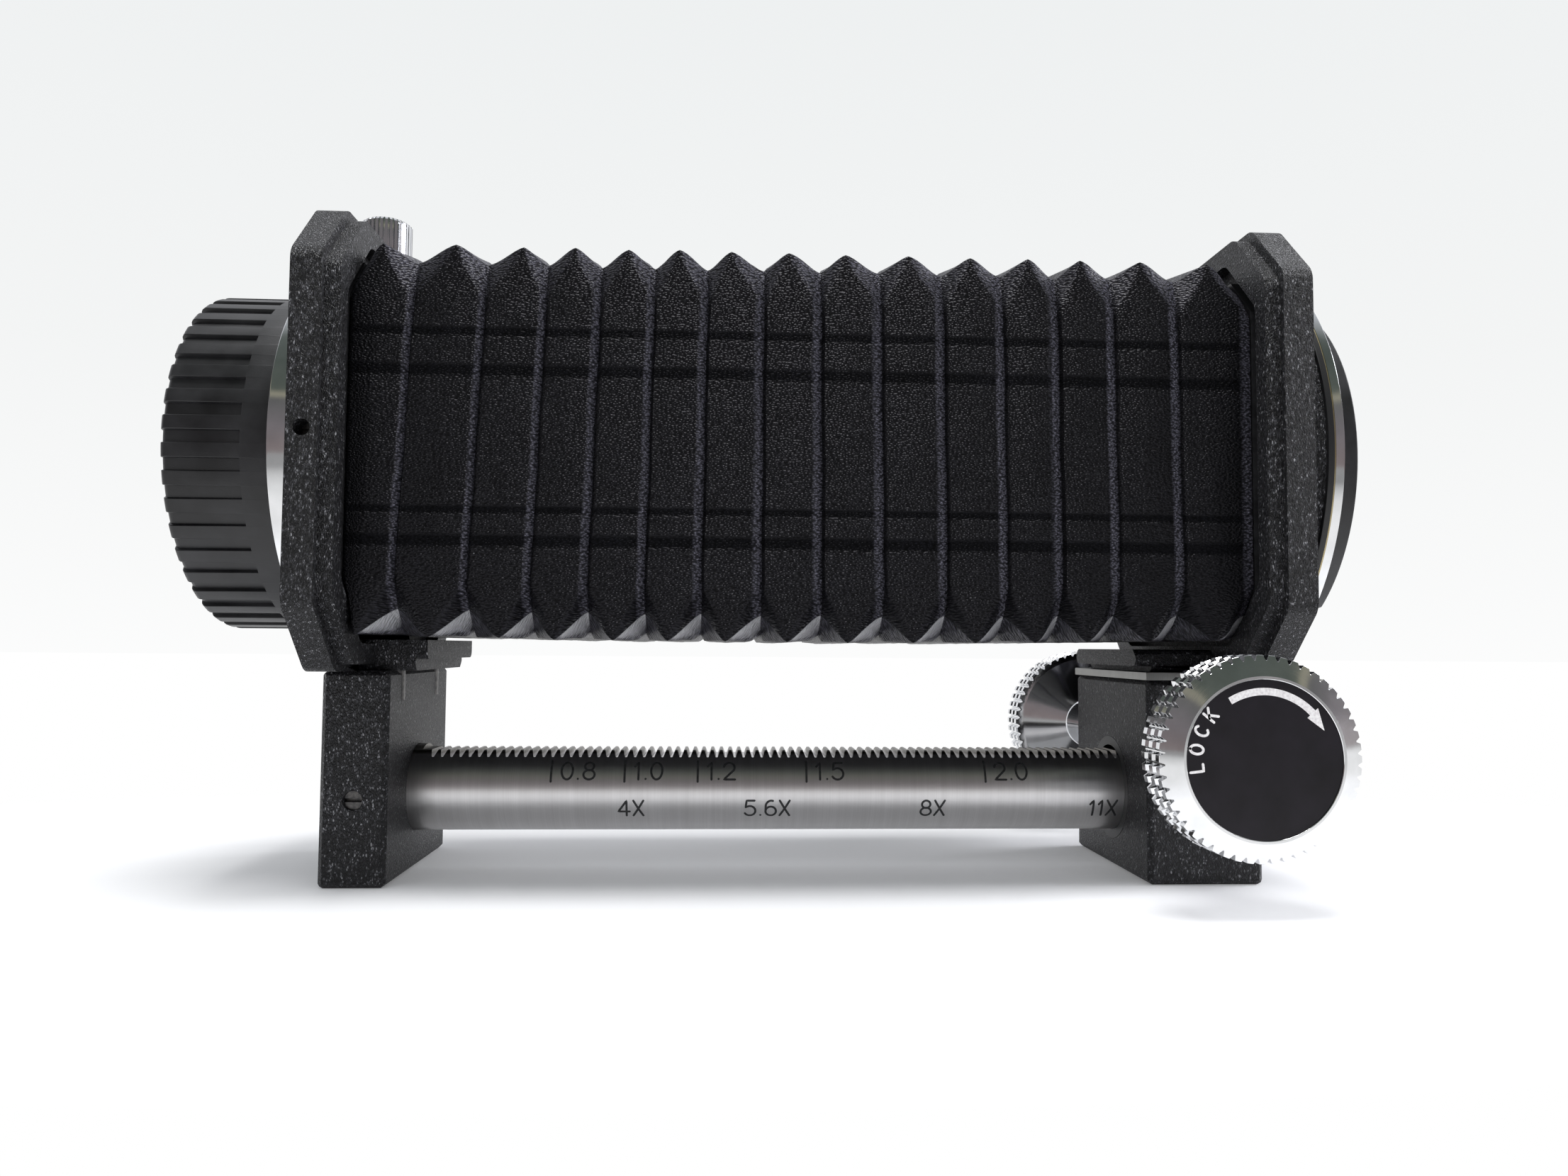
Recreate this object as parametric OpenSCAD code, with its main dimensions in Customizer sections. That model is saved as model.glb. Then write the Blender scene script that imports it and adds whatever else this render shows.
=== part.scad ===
// Macro bellows unit: a folding light-tight tunnel between a camera plate and a lens plate.
// The rear standard is fixed to a round rail, and the front one is racked along it.
// X runs along the rail from camera to lens, Z is up, and the knobs stand out along Y.
// The origin is the middle of the rear foot's underside.

/* [Rail and rack] */
// Diameter of the round rail
rail_d = 12; // [10:0.5:14]
// Height of the rail axis above the underside of the feet
rail_z = 11.1; // [9.5:0.1:13]
// Length of rail that shows between the two feet, with the front standard right out
rail_span = 98.9; // [85:0.1:120]
// Rack and pinion module
gear_module = 0.4; // [0.35:0.05:0.5]
// How far the flat of the tooth tips lies below the crown of the rail
rack_flat = 0.6; // [0.4:0.1:1]
// Depth of a tooth space below the pitch line, in modules
root_depth = 1.25; // [1.15:0.05:1.4]
// Plain rail left between the rear foot and the first tooth
rack_lead = 1.2; // [0.5:0.1:3]
// Number of pinion teeth
pinion_teeth = 12; // [11:1:14]
// Face width of the pinion
pinion_w = 8; // [6:0.5:9]
// Radius of the pinion shaft
shaft_r = 2; // [1.6:0.1:2.2]

/* [Rear foot] */
// Thickness of the rear foot along the rail
foot_t = 8.5; // [7:0.5:12]
// Width of both feet across the rail
foot_w = 29.5; // [26:0.5:34]
// Height of the rear foot
foot_h = 27.6; // [26:0.1:30]
// Chamfer on the edges of both feet
foot_edge = 0.6; // [0.3:0.1:1]
// Radius of the slotted set screw that holds the rail
rail_screw_r = 1.2; // [1:0.1:1.5]
// How far that screw lies below the foot's side
rail_screw_sink = 0.5; // [0.2:0.1:0.8]

/* [Front carriage] */
// Length of the sliding block along the rail
block_t = 15.5; // [14:0.5:20]
// How much lower the sliding block is than the rear foot
block_drop = 0.7; // [0.2:0.1:1.5]
// Distance of the knob axis from the block's rear face
pinion_inset = 5.8; // [5.3:0.1:8]
// Thickness of the cover plate on the block
cover_t = 1.1; // [0.8:0.1:1.6]
// How far the cover plate stands out of the block's sides
cover_lip = 0.2; // [0.1:0.1:0.5]
// Radius of the two sleeves that run on the rail
bush_r = 7.3; // [6.9:0.1:7.6]
// Length of each rail sleeve
bush_l = 2.4; // [1.5:0.1:2.6]
// Outer radius of the pinion bearings
bearing_r = 3.1; // [2.9:0.1:3.4]
// Gap between the pinion and each of its bearings
bearing_gap = 1.55; // [1:0.05:2]
// Gap between the rail and the bore through the block
block_bore_gap = 0.4; // [0.3:0.1:0.7]

/* [Standards] */
// Height of the optical axis above the rear foot's top
axis_rise = 28.5; // [28:0.1:31]
// Gap between an end frame and the raised rim beside it
frame_side_gap = 2.5; // [0.5:0.1:4]
// Gap between an end frame and the raised rim above it
frame_top_gap = 2; // [0.5:0.1:4]
// Thickness of the plates
plate_t = 3.7; // [3:0.1:5]
// Size of the plates' cut corners
plate_corner = 8; // [5:0.5:10]
// Step from the rear foot's outer face in to the rear plate
plate_step = 0.25; // [0:0.05:1]
// Height of the raised rim round each plate's inner face
rim_t = 1.9; // [1:0.1:2.5]
// Step from the plate's outline in to the raised rim
rim_inset = 0.9; // [0.5:0.1:1.5]
// Width of the raised rim
rim_w = 2.6; // [2:0.1:3]
// Reach of the rear shelf from the rear plate's inner face
rear_shelf = 8.7; // [8:0.1:10]
// Overhang of the front shelf past the block's rear face
front_overhang = 0.7; // [0:0.1:1.5]
// Width of both shelves
shelf_w = 25; // [22:0.5:27]
// Thickness of the rear shelf with its lower step
rear_shelf_t = 4; // [3:0.1:4.2]
// Height of the lower step of both shelves
shelf_step_t = 1.5; // [1:0.1:2]
// How far that lower step is set back
shelf_step_back = 1.5; // [1:0.1:2.5]
// Thickness of the front shelf
front_shelf_t = 3; // [2.6:0.1:3.2]
// Distance between the two screws through a shelf
shelf_screw_gap = 17; // [15:0.5:19]
// Length of the shelf screws
shelf_screw_l = 8; // [6.5:0.5:8]

/* [Bellows] */
// Number of raised folds
fold_count = 15; // [8:1:20]
// How far the end folds stand out past the end frames
fold_over = 0.4; // [0:0.1:0.5]
// Extra half size of the folds in the middle
fold_swell = 0.8; // [0:0.1:1]
// Depth of a valley below a fold
fold_depth = 1.9; // [1:0.1:3]
// Distance from the rear end frame to the first fold
fold_lead_rear = 4; // [3:0.1:6]
// Distance from the last fold to the front end frame
fold_lead_front = 5.6; // [3:0.1:7]
// How much wider the end folds stand open than the middle ones
fold_stretch = 0.12; // [0:0.01:0.3]
// Corner cut on the folds
fold_corner = 0.7; // [0.4:0.1:1.5]
// Corner cut in the valleys
valley_corner = 3.2; // [2:0.1:4]
// How far the middle of the bellows hangs below the optical axis
fold_sag = 0.8; // [0:0.1:1]
// Thickness of the bellows cloth
cloth_t = 0.8; // [0.5:0.1:1]
// Thickness of the bellows end frames
frame_t = 1.2; // [1:0.1:1.5]
// Gap between the rear shelf and the end frame above it
frame_gap = 1; // [0.8:0.1:1.6]
// Corner cut of the end frames
frame_corner = 5.5; // [5:0.1:7]
// Half size of the light opening in the end frames
frame_open = 17.2; // [16:0.1:17.5]
// Distance of the frame screws above and below the optical axis
frame_screw_z = 15; // [14:0.5:15.5]
// Depth of the frame screws in the plates
frame_screw_grip = 2.2; // [1.6:0.1:2.6]
// Radius of the small screws in frames, lens ring and plate edges
small_screw_r = 0.95; // [0.8:0.05:1.1]

/* [Camera end] */
// Radius of the camera screw thread
thread_r = 21; // [20:0.5:21]
// Length of the dog-point screws that keep the turning ring in
grub_l = 4.4; // [3.5:0.1:5.5]
// Length of the camera screw thread
thread_l = 4.5; // [4:0.1:5]
// Radius of the light opening in both mount rings
light_r = 19.5; // [18:0.5:19.5]
// Radius of the turning ring's flange
ring_flange_r = 25.7; // [25:0.1:27]
// Thickness of the turning ring's flange
ring_flange_t = 3.6; // [3:0.1:4.5]
// Radius of the turning ring's hub in the rear plate
ring_hub_r = 22.3; // [22:0.1:22.6]
// Depth of the groove in that hub
ring_groove = 0.8; // [0.6:0.1:1]
// Radius of the dog points that run in the groove
dog_r = 0.6; // [0.4:0.05:0.7]
// Radius of the knurled head of the lock screw
lock_head_r = 3.55; // [3:0.05:4]
// Ribs of that head's knurl
lock_ribs = 34; // [24:1:40]
// Depth of that knurl
lock_knurl = 0.25; // [0.15:0.05:0.4]
// Height of the knurled head of the lock screw
lock_head_h = 5.4; // [4.5:0.1:7]
// Gap between the plate's top and that head
lock_head_gap = 1; // [0.6:0.1:2]
// Radius of the lock screw's stem
lock_stem_r = 1.3; // [1:0.1:1.4]
// Radius of the rear cap
rear_cap_r = 23; // [22.9:0.1:24]
// Length of the rear cap
rear_cap_l = 13.6; // [12:0.1:16]
// Number of ribs on the rear cap
cap_ribs = 42; // [30:2:60]
// Depth of the grooves between those ribs
cap_groove = 0.5; // [0.3:0.1:0.8]
// Smooth band left beside the ribs
cap_band = 4; // [3:0.5:5]
// Wall at the closed end of both caps
cap_wall = 1.5; // [1:0.1:2]

/* [Lens end] */
// Radius of the chromed lens ring
lens_ring_r = 29.5; // [28:0.1:30]
// Step from the lens ring's edge in to the boss under it
boss_step = 0.5; // [0.2:0.1:1]
// Height of the boss on the front plate
boss_t = 1.6; // [1:0.1:3]
// Thickness of the lens ring's flange
lens_flange_t = 2.1; // [1.8:0.1:3]
// Radius of the lens ring's hub
lens_hub_r = 22.4; // [22:0.1:22.6]
// Length of the lens ring's hub
lens_hub_l = 3.4; // [3:0.1:4]
// Radius of the body cap's rim
body_cap_r = 25; // [24:0.1:26]
// Thickness of the body cap's rim
body_cap_t = 4.1; // [3:0.1:5]
// Length of the body cap's screwed part
body_cap_plug = 4; // [3:0.1:4.2]
// Depth of the cut at the top and bottom of the body cap's rim
body_cap_flat = 0.8; // [0.4:0.1:1.2]
// Height over which that rim keeps its full radius
body_cap_full_h = 38.8; // [34:0.2:42]

/* [Knobs] */
// Radius over the knurl of the knobs
knob_r = 12; // [10:0.1:12.4]
// Depth of the knurl
knurl_depth = 0.6; // [0.3:0.05:0.8]
// Teeth in one row of the knurl
knurl_teeth = 52; // [36:1:60]
// Rows of the knurl
knurl_rows = 3; // [2:1:4]
// Width of one row
knurl_row_w = 1.5; // [1:0.1:2]
// Groove between two rows
knurl_gap = 0.7; // [0.4:0.1:1]
// Distance from the foot's side to the knob's rim
knob_stand = 13.6; // [10:0.1:16]
// Radius of the knob's hub
hub_r = 4; // [3.6:0.1:5]
// Height of the cone on the knob's back
cone_h = 2.4; // [1:0.1:4]
// Flat ring between that cone and the knurl
cone_rim = 0.6; // [0.4:0.1:1]
// Height of the polished bevel on the knob's face
bevel_h = 0.9; // [0.6:0.1:1.5]
// Radius of the black disc let into the face
disc_r = 9.2; // [8:0.1:9.6]
// Depth of the recess that holds the disc
disc_depth = 0.8; // [0.5:0.1:1.2]
// Width of the bright lip round the disc
disc_lip = 0.35; // [0.2:0.05:0.6]
// How far the disc lies below that lip
disc_sink = 0.15; // [0.1:0.05:0.3]
// Length of the clamp's screwed stud in its bearing
stud_l = 5.2; // [4:0.1:6]
// Thickness of the clamp's brass pad
pad_t = 0.9; // [0.6:0.1:1.2]

/* [Clearances] */
// Radial clearance of turning and sliding fits
run_fit = 0.05; // [0.02:0.01:0.09]
// Radial clearance of fixed screws in their holes
screw_fit = 0.03; // [0.01:0.01:0.05]
// End clearance between parts that move against each other
end_gap = 0.2; // [0.1:0.05:0.3]

/* [Hidden] */
$fn = 96;
eps = 0.01;
// How far a cutter runs past the face that it opens
past = 1;

// Places along the rail
foot_front_x = foot_t / 2;
rear_plate_x = -foot_t / 2 + plate_step;
rear_inner_x = rear_plate_x + plate_t;
block_rear_x = foot_front_x + rail_span;
block_front_x = block_rear_x + block_t;
pinion_x = block_rear_x + pinion_inset;
front_inner_x = block_front_x - plate_t;
seat_x = block_front_x + boss_t;
lens_face_x = seat_x + lens_flange_t;
cloth_rear_x = rear_inner_x + frame_t;
cloth_front_x = front_inner_x - frame_t - end_gap;

// Heights
rail_r = rail_d / 2;
tip_z = rail_z + rail_r - rack_flat;
pinion_z = tip_z - gear_module + gear_module * pinion_teeth / 2;
block_h = foot_h - block_drop;
front_base_z = block_h + cover_t;
axis_z = foot_h + axis_rise;
frame_half = axis_rise - rear_shelf_t - frame_gap;
plate_half = frame_half + frame_side_gap + rim_w + rim_inset;
plate_h = axis_rise + frame_half + frame_top_gap + rim_w + rim_inset;
rear_top_z = foot_h + plate_h;

// Rack and pinion
tooth_pitch = PI * gear_module;
flank_angle = 20;
root_z = tip_z - gear_module * (1 + root_depth);
space_top_w = tooth_pitch / 2 + 2 * gear_module * tan(flank_angle);
space_root_w = tooth_pitch / 2 - 2 * gear_module * root_depth * tan(flank_angle);
rack_start_x = foot_front_x + rack_lead;
rack_end_x = pinion_x + 2 * tooth_pitch;
spaces_behind = floor((pinion_x - rack_start_x - space_top_w / 2) / tooth_pitch);
pitch_r = gear_module * pinion_teeth / 2;
pinion_addendum = 0.85;
pinion_dedendum = 1.3;
tooth_tip_share = 0.09;
tooth_thin = 0.75;
tooth_flare = 1.78;
tooth_tip_r = pitch_r + pinion_addendum * gear_module;
tooth_root_r = pitch_r - pinion_dedendum * gear_module;
tooth_tip_a = tooth_tip_share * tooth_pitch / tooth_tip_r * 180 / PI;
tooth_pitch_a = tooth_thin * 90 / pinion_teeth;
tooth_root_a = tooth_flare * tooth_pitch_a;

// Screws
shelf_screw_r = 1.5;
shelf_head_r = 2.7;
small_head_ratio = 1.8;
small_head_r = small_head_ratio * small_screw_r;
slot_w = 0.5;
slot_depth = 0.9;
rear_screw_x = (rear_inner_x + rim_t + foot_front_x) / 2;
front_screw_x = (block_rear_x + front_inner_x - rim_t) / 2;
fold_half = frame_half + fold_over;
frame_screw_y = (frame_open + fold_half - fold_depth - cloth_t) / 2;
frame_screw_l = frame_t + frame_screw_grip;
lens_screw_at = (lens_ring_r + lens_hub_r) / 2;
lens_screw_l = lens_flange_t + boss_t;
grub_x = rear_plate_x + plate_t / 2;
groove_half_w = dog_r + end_gap / 2;
groove_r = ring_hub_r - ring_groove;
dog_start_r = ring_hub_r + end_gap;
dog_end_r = groove_r + end_gap;

// Ribs and knurls, as shares of their pitch: half the flat top, and each flank
cap_rib = [0.26, 0.02];
lock_rib = [0.16, 0.16];
knurl_tooth = [0.25, 0.2];

// Knobs
knurl_w = knurl_rows * knurl_row_w + (knurl_rows - 1) * knurl_gap;
knob_back = foot_w / 2 + knob_stand;
knob_front = knob_back + knurl_w;
knob_root_r = knob_r - knurl_depth;
hub_start = foot_w / 2 + cover_lip + end_gap;
bearing_in = pinion_w / 2 + bearing_gap;
shaft_tip = foot_w / 2 - stud_l - pad_t - end_gap;
stud_r = shaft_r - run_fit;
grub_sink = 0.2;

// Folds of the bellows
fold_first_x = cloth_rear_x + fold_lead_rear;
fold_last_x = cloth_front_x - fold_lead_front;
fold_mid_x = (fold_first_x + fold_last_x) / 2;
fold_reach = (fold_last_x - fold_first_x) / 2;
inner_corner_share = 0.6;
least_corner = 0.2;
cloth_mid_x = (cloth_rear_x + cloth_front_x) / 2;

// A cylinder along X at the given height
module x_rod(x0, x1, r, z = 0, y = 0)
    translate([x0, y, z]) rotate([0, 90, 0]) cylinder(h = x1 - x0, r = r);

// A cylinder along Y
module y_rod(y0, y1, r, x = 0, z = 0)
    translate([x, y0, z]) rotate([-90, 0, 0]) cylinder(h = y1 - y0, r = r);

// An outline in Y and Z, made solid from x0 to x1
module x_slab(x0, x1)
    translate([x0, 0, 0]) rotate([90, 0, 90]) linear_extrude(height = x1 - x0) children();

// An outline in X and Z, made solid from y0 to y1
module y_slab(y0, y1)
    translate([0, y1, 0]) rotate([90, 0, 0]) linear_extrude(height = y1 - y0) children();

// A profile of [radius, x] points turned about the optical axis
module x_turned(points)
    translate([0, 0, axis_z]) rotate([0, 90, 0]) rotate_extrude() polygon(points);

// A box outline with cut corners
function cut_box(a0, a1, b0, b1, c) =
    [[a0 + c, b0], [a1 - c, b0], [a1, b0 + c], [a1, b1 - c],
     [a1 - c, b1], [a0 + c, b1], [a0, b1 - c], [a0, b0 + c]];

// A wheel outline with square-cut ribs
function ribbed(n, r_out, r_in, rib) =
    let (foot = rib[0] + rib[1])
    [for (i = [0 : n - 1], q = [[-foot, r_in], [-rib[0], r_out], [rib[0], r_out], [foot, r_in]])
        q[1] * [cos((i + q[0]) * 360 / n), sin((i + q[0]) * 360 / n)]];

// A block for a foot, with its edges cut
module foot_block(x0, x1, h) {
    intersection() {
        y_slab(-foot_w / 2, foot_w / 2) polygon(cut_box(x0, x1, 0, h, foot_edge));
        x_slab(x0, x1) polygon(cut_box(-foot_w / 2, foot_w / 2, 0, h, foot_edge));
        linear_extrude(height = h) polygon(cut_box(x0, x1, -foot_w / 2, foot_w / 2, foot_edge));
    }
}

// The octagon of a standard, from its base up
module plate_outline(base_z, inset = 0)
    polygon(cut_box(-plate_half + inset, plate_half - inset, base_z + inset,
                    base_z + plate_h - inset, plate_corner));

// The raised rim inside a standard
module plate_rim(x0, x1, base_z) {
    x_slab(x0, x1) difference() {
        plate_outline(base_z, rim_inset);
        plate_outline(base_z, rim_inset + rim_w);
    }
}

// Countersunk screw pointing down, its head flush with z
module shelf_screw(x, y, z) {
    translate([x, y, z - shelf_screw_l]) cylinder(h = shelf_screw_l - eps, r = shelf_screw_r);
    difference() {
        translate([x, y, z - shelf_head_r + shelf_screw_r])
            cylinder(h = shelf_head_r - shelf_screw_r, r1 = shelf_screw_r, r2 = shelf_head_r);
        translate([x - shelf_head_r, y - slot_w / 2, z - slot_w])
            cube([2 * shelf_head_r, slot_w, 2 * slot_w]);
    }
}

// The hole for a shelf screw
module shelf_screw_hole(x, y, z) {
    translate([x, y, z - shelf_screw_l - eps])
        cylinder(h = shelf_screw_l + past, r = shelf_screw_r + screw_fit);
    translate([x, y, z - shelf_head_r + shelf_screw_r])
        cylinder(h = shelf_head_r - shelf_screw_r + eps, r1 = shelf_screw_r + screw_fit,
                 r2 = shelf_head_r + screw_fit + eps);
}

module shelf_screw_pair(x, z, hole = false) {
    for (side = [-1, 1]) {
        if (hole) shelf_screw_hole(x, side * shelf_screw_gap / 2, z);
        else shelf_screw(x, side * shelf_screw_gap / 2, z);
    }
}

// Small countersunk screw along X: the head lies at x, the stem runs towards dir
module small_screw(x, y, z, dir, l) {
    cone_l = small_head_r - small_screw_r;
    translate([x, y, z]) rotate([0, 90 * dir, 0]) difference() {
        union() {
            cylinder(h = cone_l, r1 = small_head_r, r2 = small_screw_r);
            translate([0, 0, cone_l]) cylinder(h = l - cone_l, r = small_screw_r);
        }
        translate([-small_head_r, -slot_w / 2, slot_depth - past]) cube([2 * small_head_r, slot_w, past]);
    }
}

// Its hole
module small_screw_hole(x, y, z, dir, l) {
    cone_l = small_head_r - small_screw_r;
    translate([x, y, z]) rotate([0, 90 * dir, 0]) {
        translate([0, 0, -eps])
            cylinder(h = cone_l + 2 * eps, r1 = small_head_r + screw_fit, r2 = small_screw_r + screw_fit);
        cylinder(h = l + screw_fit, r = small_screw_r + screw_fit);
    }
}

// The four screws of an end frame
module frame_screw_set(x, dir, hole = false) {
    for (sy = [-1, 1], sz = [-1, 1]) {
        if (hole) small_screw_hole(x, sy * frame_screw_y, axis_z + sz * frame_screw_z, dir, frame_screw_l);
        else small_screw(x, sy * frame_screw_y, axis_z + sz * frame_screw_z, dir, frame_screw_l);
    }
}

// The four screws of the lens ring
module lens_screw_set(hole = false) {
    for (a = [45 : 90 : 315]) {
        y = lens_screw_at * cos(a);
        z = axis_z + lens_screw_at * sin(a);
        if (hole) small_screw_hole(lens_face_x, y, z, -1, lens_screw_l);
        else small_screw(lens_face_x, y, z, -1, lens_screw_l);
    }
}

// ---- Rear foot: a cast block that grips the end of the rail
module rear_foot() {
    color("#1c1c1e") difference() {
        foot_block(-foot_t / 2, foot_t / 2, foot_h);
        x_rod(-foot_t, foot_t, rail_r + screw_fit, rail_z);
        y_rod(-foot_w, 0, rail_screw_r + screw_fit, 0, rail_z);
        shelf_screw_pair(rear_screw_x, foot_h + rear_shelf_t, true);
    }
}

// ---- Rear standard: plate with a round opening, a rim and a shelf that sits on the foot
module rear_standard() {
    color("#18181a") difference() {
        union() {
            x_slab(rear_plate_x, rear_inner_x) plate_outline(foot_h);
            plate_rim(rear_inner_x - eps, rear_inner_x + rim_t, foot_h);
            y_slab(-shelf_w / 2, shelf_w / 2) polygon([
                [rear_inner_x - eps, foot_h],
                [rear_inner_x + rear_shelf - shelf_step_back, foot_h],
                [rear_inner_x + rear_shelf - shelf_step_back, foot_h + shelf_step_t],
                [rear_inner_x + rear_shelf, foot_h + shelf_step_t],
                [rear_inner_x + rear_shelf, foot_h + rear_shelf_t],
                [rear_inner_x - eps, foot_h + rear_shelf_t]]);
        }
        x_rod(rear_plate_x - past, rear_inner_x + past, ring_hub_r + run_fit, axis_z);
        shelf_screw_pair(rear_screw_x, foot_h + rear_shelf_t, true);
        frame_screw_set(cloth_rear_x, -1, true);
        y_rod(-plate_half - past, plate_half + past, small_screw_r + screw_fit, grub_x, axis_z);
        translate([grub_x, 0, axis_z])
            cylinder(h = rear_top_z - axis_z + past, r = lock_stem_r + run_fit);
    }
}

module rear_shelf_screws() {
    color("#3a3a3c") shelf_screw_pair(rear_screw_x, foot_h + rear_shelf_t);
}

// ---- Rail: ground steel rod with a rack cut along its top
module rail() {
    color("#b4b4b2") difference() {
        x_rod(-foot_t / 2 + foot_edge, block_front_x - foot_edge, rail_r, rail_z);
        y_slab(-rail_r, rail_r) polygon(concat(
            [[rack_end_x, tip_z], [rack_end_x, rail_z + rail_d],
             [rack_start_x, rail_z + rail_d], [rack_start_x, tip_z]],
            [for (i = [-spaces_behind : 1], q = [[-space_top_w, tip_z], [-space_root_w, root_z],
                                                 [space_root_w, root_z], [space_top_w, tip_z]])
                [pinion_x + i * tooth_pitch + q[0] / 2, q[1]]]));
    }
}

module rail_set_screw() {
    color("#6c6c6c") difference() {
        y_rod(-foot_w / 2 + rail_screw_sink, -rail_r, rail_screw_r, 0, rail_z);
        translate([-rail_screw_r, -foot_w / 2 + rail_screw_sink + slot_depth - past, rail_z - slot_w / 2])
            cube([2 * rail_screw_r, past, slot_w]);
    }
}

// ---- End frames: thin square plates that the cloth is fixed to
module end_frame(x0, x1, screw_x, dir) {
    difference() {
        x_slab(x0, x1) difference() {
            polygon(cut_box(-frame_half, frame_half, axis_z - frame_half, axis_z + frame_half, frame_corner));
            translate([0, axis_z]) square(2 * frame_open, center = true);
        }
        frame_screw_set(screw_x, dir, true);
    }
}

module rear_bellows_frame() {
    color("#202022") end_frame(rear_inner_x, cloth_rear_x, cloth_rear_x, -1);
}

module rear_frame_screws() {
    color("#4a4a4a") frame_screw_set(cloth_rear_x, -1);
}

module front_bellows_frame() {
    color("#202022") end_frame(front_inner_x - frame_t, front_inner_x, front_inner_x - frame_t, 1);
}

module front_frame_screws() {
    color("#4a4a4a") frame_screw_set(front_inner_x - frame_t, 1);
}

// ---- Bellows: one folded square tube, hollow from end to end
function fold_t(i) = fold_count > 1 ? 2 * i / (fold_count - 1) - 1 : 0;
function fold_x(i) =
    fold_mid_x + fold_reach * (fold_t(i) * (1 - fold_stretch) + fold_stretch * pow(fold_t(i), 3));
function bow(x) = 1 - pow((x - cloth_mid_x) / (cloth_mid_x - cloth_rear_x), 2);
function fold_ring(x, is_fold, inset) =
    let (half = fold_half + fold_swell * bow(x) - (is_fold ? 0 : fold_depth) - inset)
    let (c = max(least_corner, (is_fold ? fold_corner : valley_corner) - inner_corner_share * inset))
    [for (q = [[half - c, -half], [half, c - half], [half, half - c], [half - c, half],
               [c - half, half], [-half, half - c], [-half, c - half], [c - half, -half]])
        [x, q[0], axis_z - fold_sag * bow(x) + q[1]]];
function fold_stations() = concat(
    [[cloth_rear_x, false]],
    [for (i = [0 : fold_count - 1], k = [0, 1])
        if (k == 0 || i < fold_count - 1)
            k == 0 ? [fold_x(i), true] : [(fold_x(i) + fold_x(i + 1)) / 2, false]],
    [[cloth_front_x, false]]);

module bellows() {
    stations = fold_stations();
    n = len(stations);
    outer = [for (s = stations) each fold_ring(s[0], s[1], 0)];
    inner = [for (s = stations) each fold_ring(s[0], s[1], cloth_t)];
    m = 8 * n;
    sides = [for (i = [0 : n - 2], j = [0 : 7])
        let (a = 8 * i + j, b = 8 * i + (j + 1) % 8, c = b + 8, d = a + 8)
        each [[a, d, c], [a, c, b], [m + a, m + c, m + d], [m + a, m + b, m + c]]];
    ends = [for (j = [0 : 7])
        let (k = (j + 1) % 8, e = 8 * (n - 1))
        each [[j, k, m + k], [j, m + k, m + j],
              [e + k, e + j, m + e + j], [e + k, m + e + j, m + e + k]]];
    color("#1d1b20") polyhedron(points = concat(outer, inner), faces = concat(sides, ends));
}

// ---- Camera end: a chromed ring that turns in the rear plate, held by grub screws in its groove
module camera_ring() {
    flange_x = rear_plate_x - end_gap / 2;
    hub_end = rear_inner_x - end_gap;
    color("#c8ccd0") x_turned([
        [light_r, flange_x - ring_flange_t - thread_l], [thread_r, flange_x - ring_flange_t - thread_l],
        [thread_r, flange_x - ring_flange_t], [ring_flange_r, flange_x - ring_flange_t],
        [ring_flange_r, flange_x], [ring_hub_r, flange_x], [ring_hub_r, grub_x - groove_half_w],
        [groove_r, grub_x - groove_half_w], [groove_r, grub_x + groove_half_w],
        [ring_hub_r, grub_x + groove_half_w], [ring_hub_r, hub_end], [light_r, hub_end]]);
}

module ring_grub_screws() {
    for (side = [-1, 1]) {
        color("#2a2a2a") mirror([0, side > 0 ? 0 : 1, 0]) difference() {
            union() {
                y_rod(dog_end_r, dog_start_r + eps, dog_r, grub_x, axis_z);
                y_rod(dog_start_r, dog_start_r + grub_l, small_screw_r, grub_x, axis_z);
            }
            translate([rear_plate_x, dog_start_r + grub_l - slot_w, axis_z - slot_w / 2])
                cube([plate_t, past, slot_w]);
        }
    }
}

// ---- Lock screw: knurled head on a stem that presses on the turning ring
module lock_screw() {
    head_z = rear_top_z + lock_head_gap;
    color("#c8ccd0") translate([grub_x, 0, 0]) {
        translate([0, 0, axis_z + dog_end_r]) cylinder(h = dog_start_r - dog_end_r + eps, r = dog_r);
        translate([0, 0, axis_z + dog_start_r])
            cylinder(h = head_z - axis_z - dog_start_r + eps, r = lock_stem_r);
        translate([0, 0, head_z]) linear_extrude(height = lock_head_h)
            polygon(ribbed(lock_ribs, lock_head_r, lock_head_r - lock_knurl, lock_rib));
    }
}

// ---- Rear cap: ribbed cup that screws over the camera thread
module rear_cap() {
    mouth_x = rear_plate_x - end_gap / 2 - ring_flange_t - end_gap;
    end_x = mouth_x - rear_cap_l;
    color("#141416") difference() {
        x_rod(end_x, mouth_x, rear_cap_r, axis_z);
        x_slab(end_x - past, mouth_x - cap_band) translate([0, axis_z]) difference() {
            circle(r = rear_cap_r + 2 * past);
            polygon(ribbed(cap_ribs, rear_cap_r + past, rear_cap_r - cap_groove, cap_rib));
        }
        x_rod(end_x + cap_wall, mouth_x + past, thread_r + run_fit, axis_z);
    }
}

// ---- Sliding block: carries the front standard, the sleeves and the pinion
module front_block() {
    color("#1c1c1e") difference() {
        foot_block(block_rear_x, block_front_x, block_h);
        x_rod(block_rear_x - past, block_front_x + past, rail_r + block_bore_gap, rail_z);
        x_rod(block_rear_x - past, block_rear_x + bush_l, bush_r, rail_z);
        x_rod(block_front_x - bush_l, block_front_x + past, bush_r, rail_z);
        y_rod(-foot_w, foot_w, bearing_r, pinion_x, pinion_z);
        shelf_screw_pair(front_screw_x, front_base_z + front_shelf_t, true);
    }
}

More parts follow.
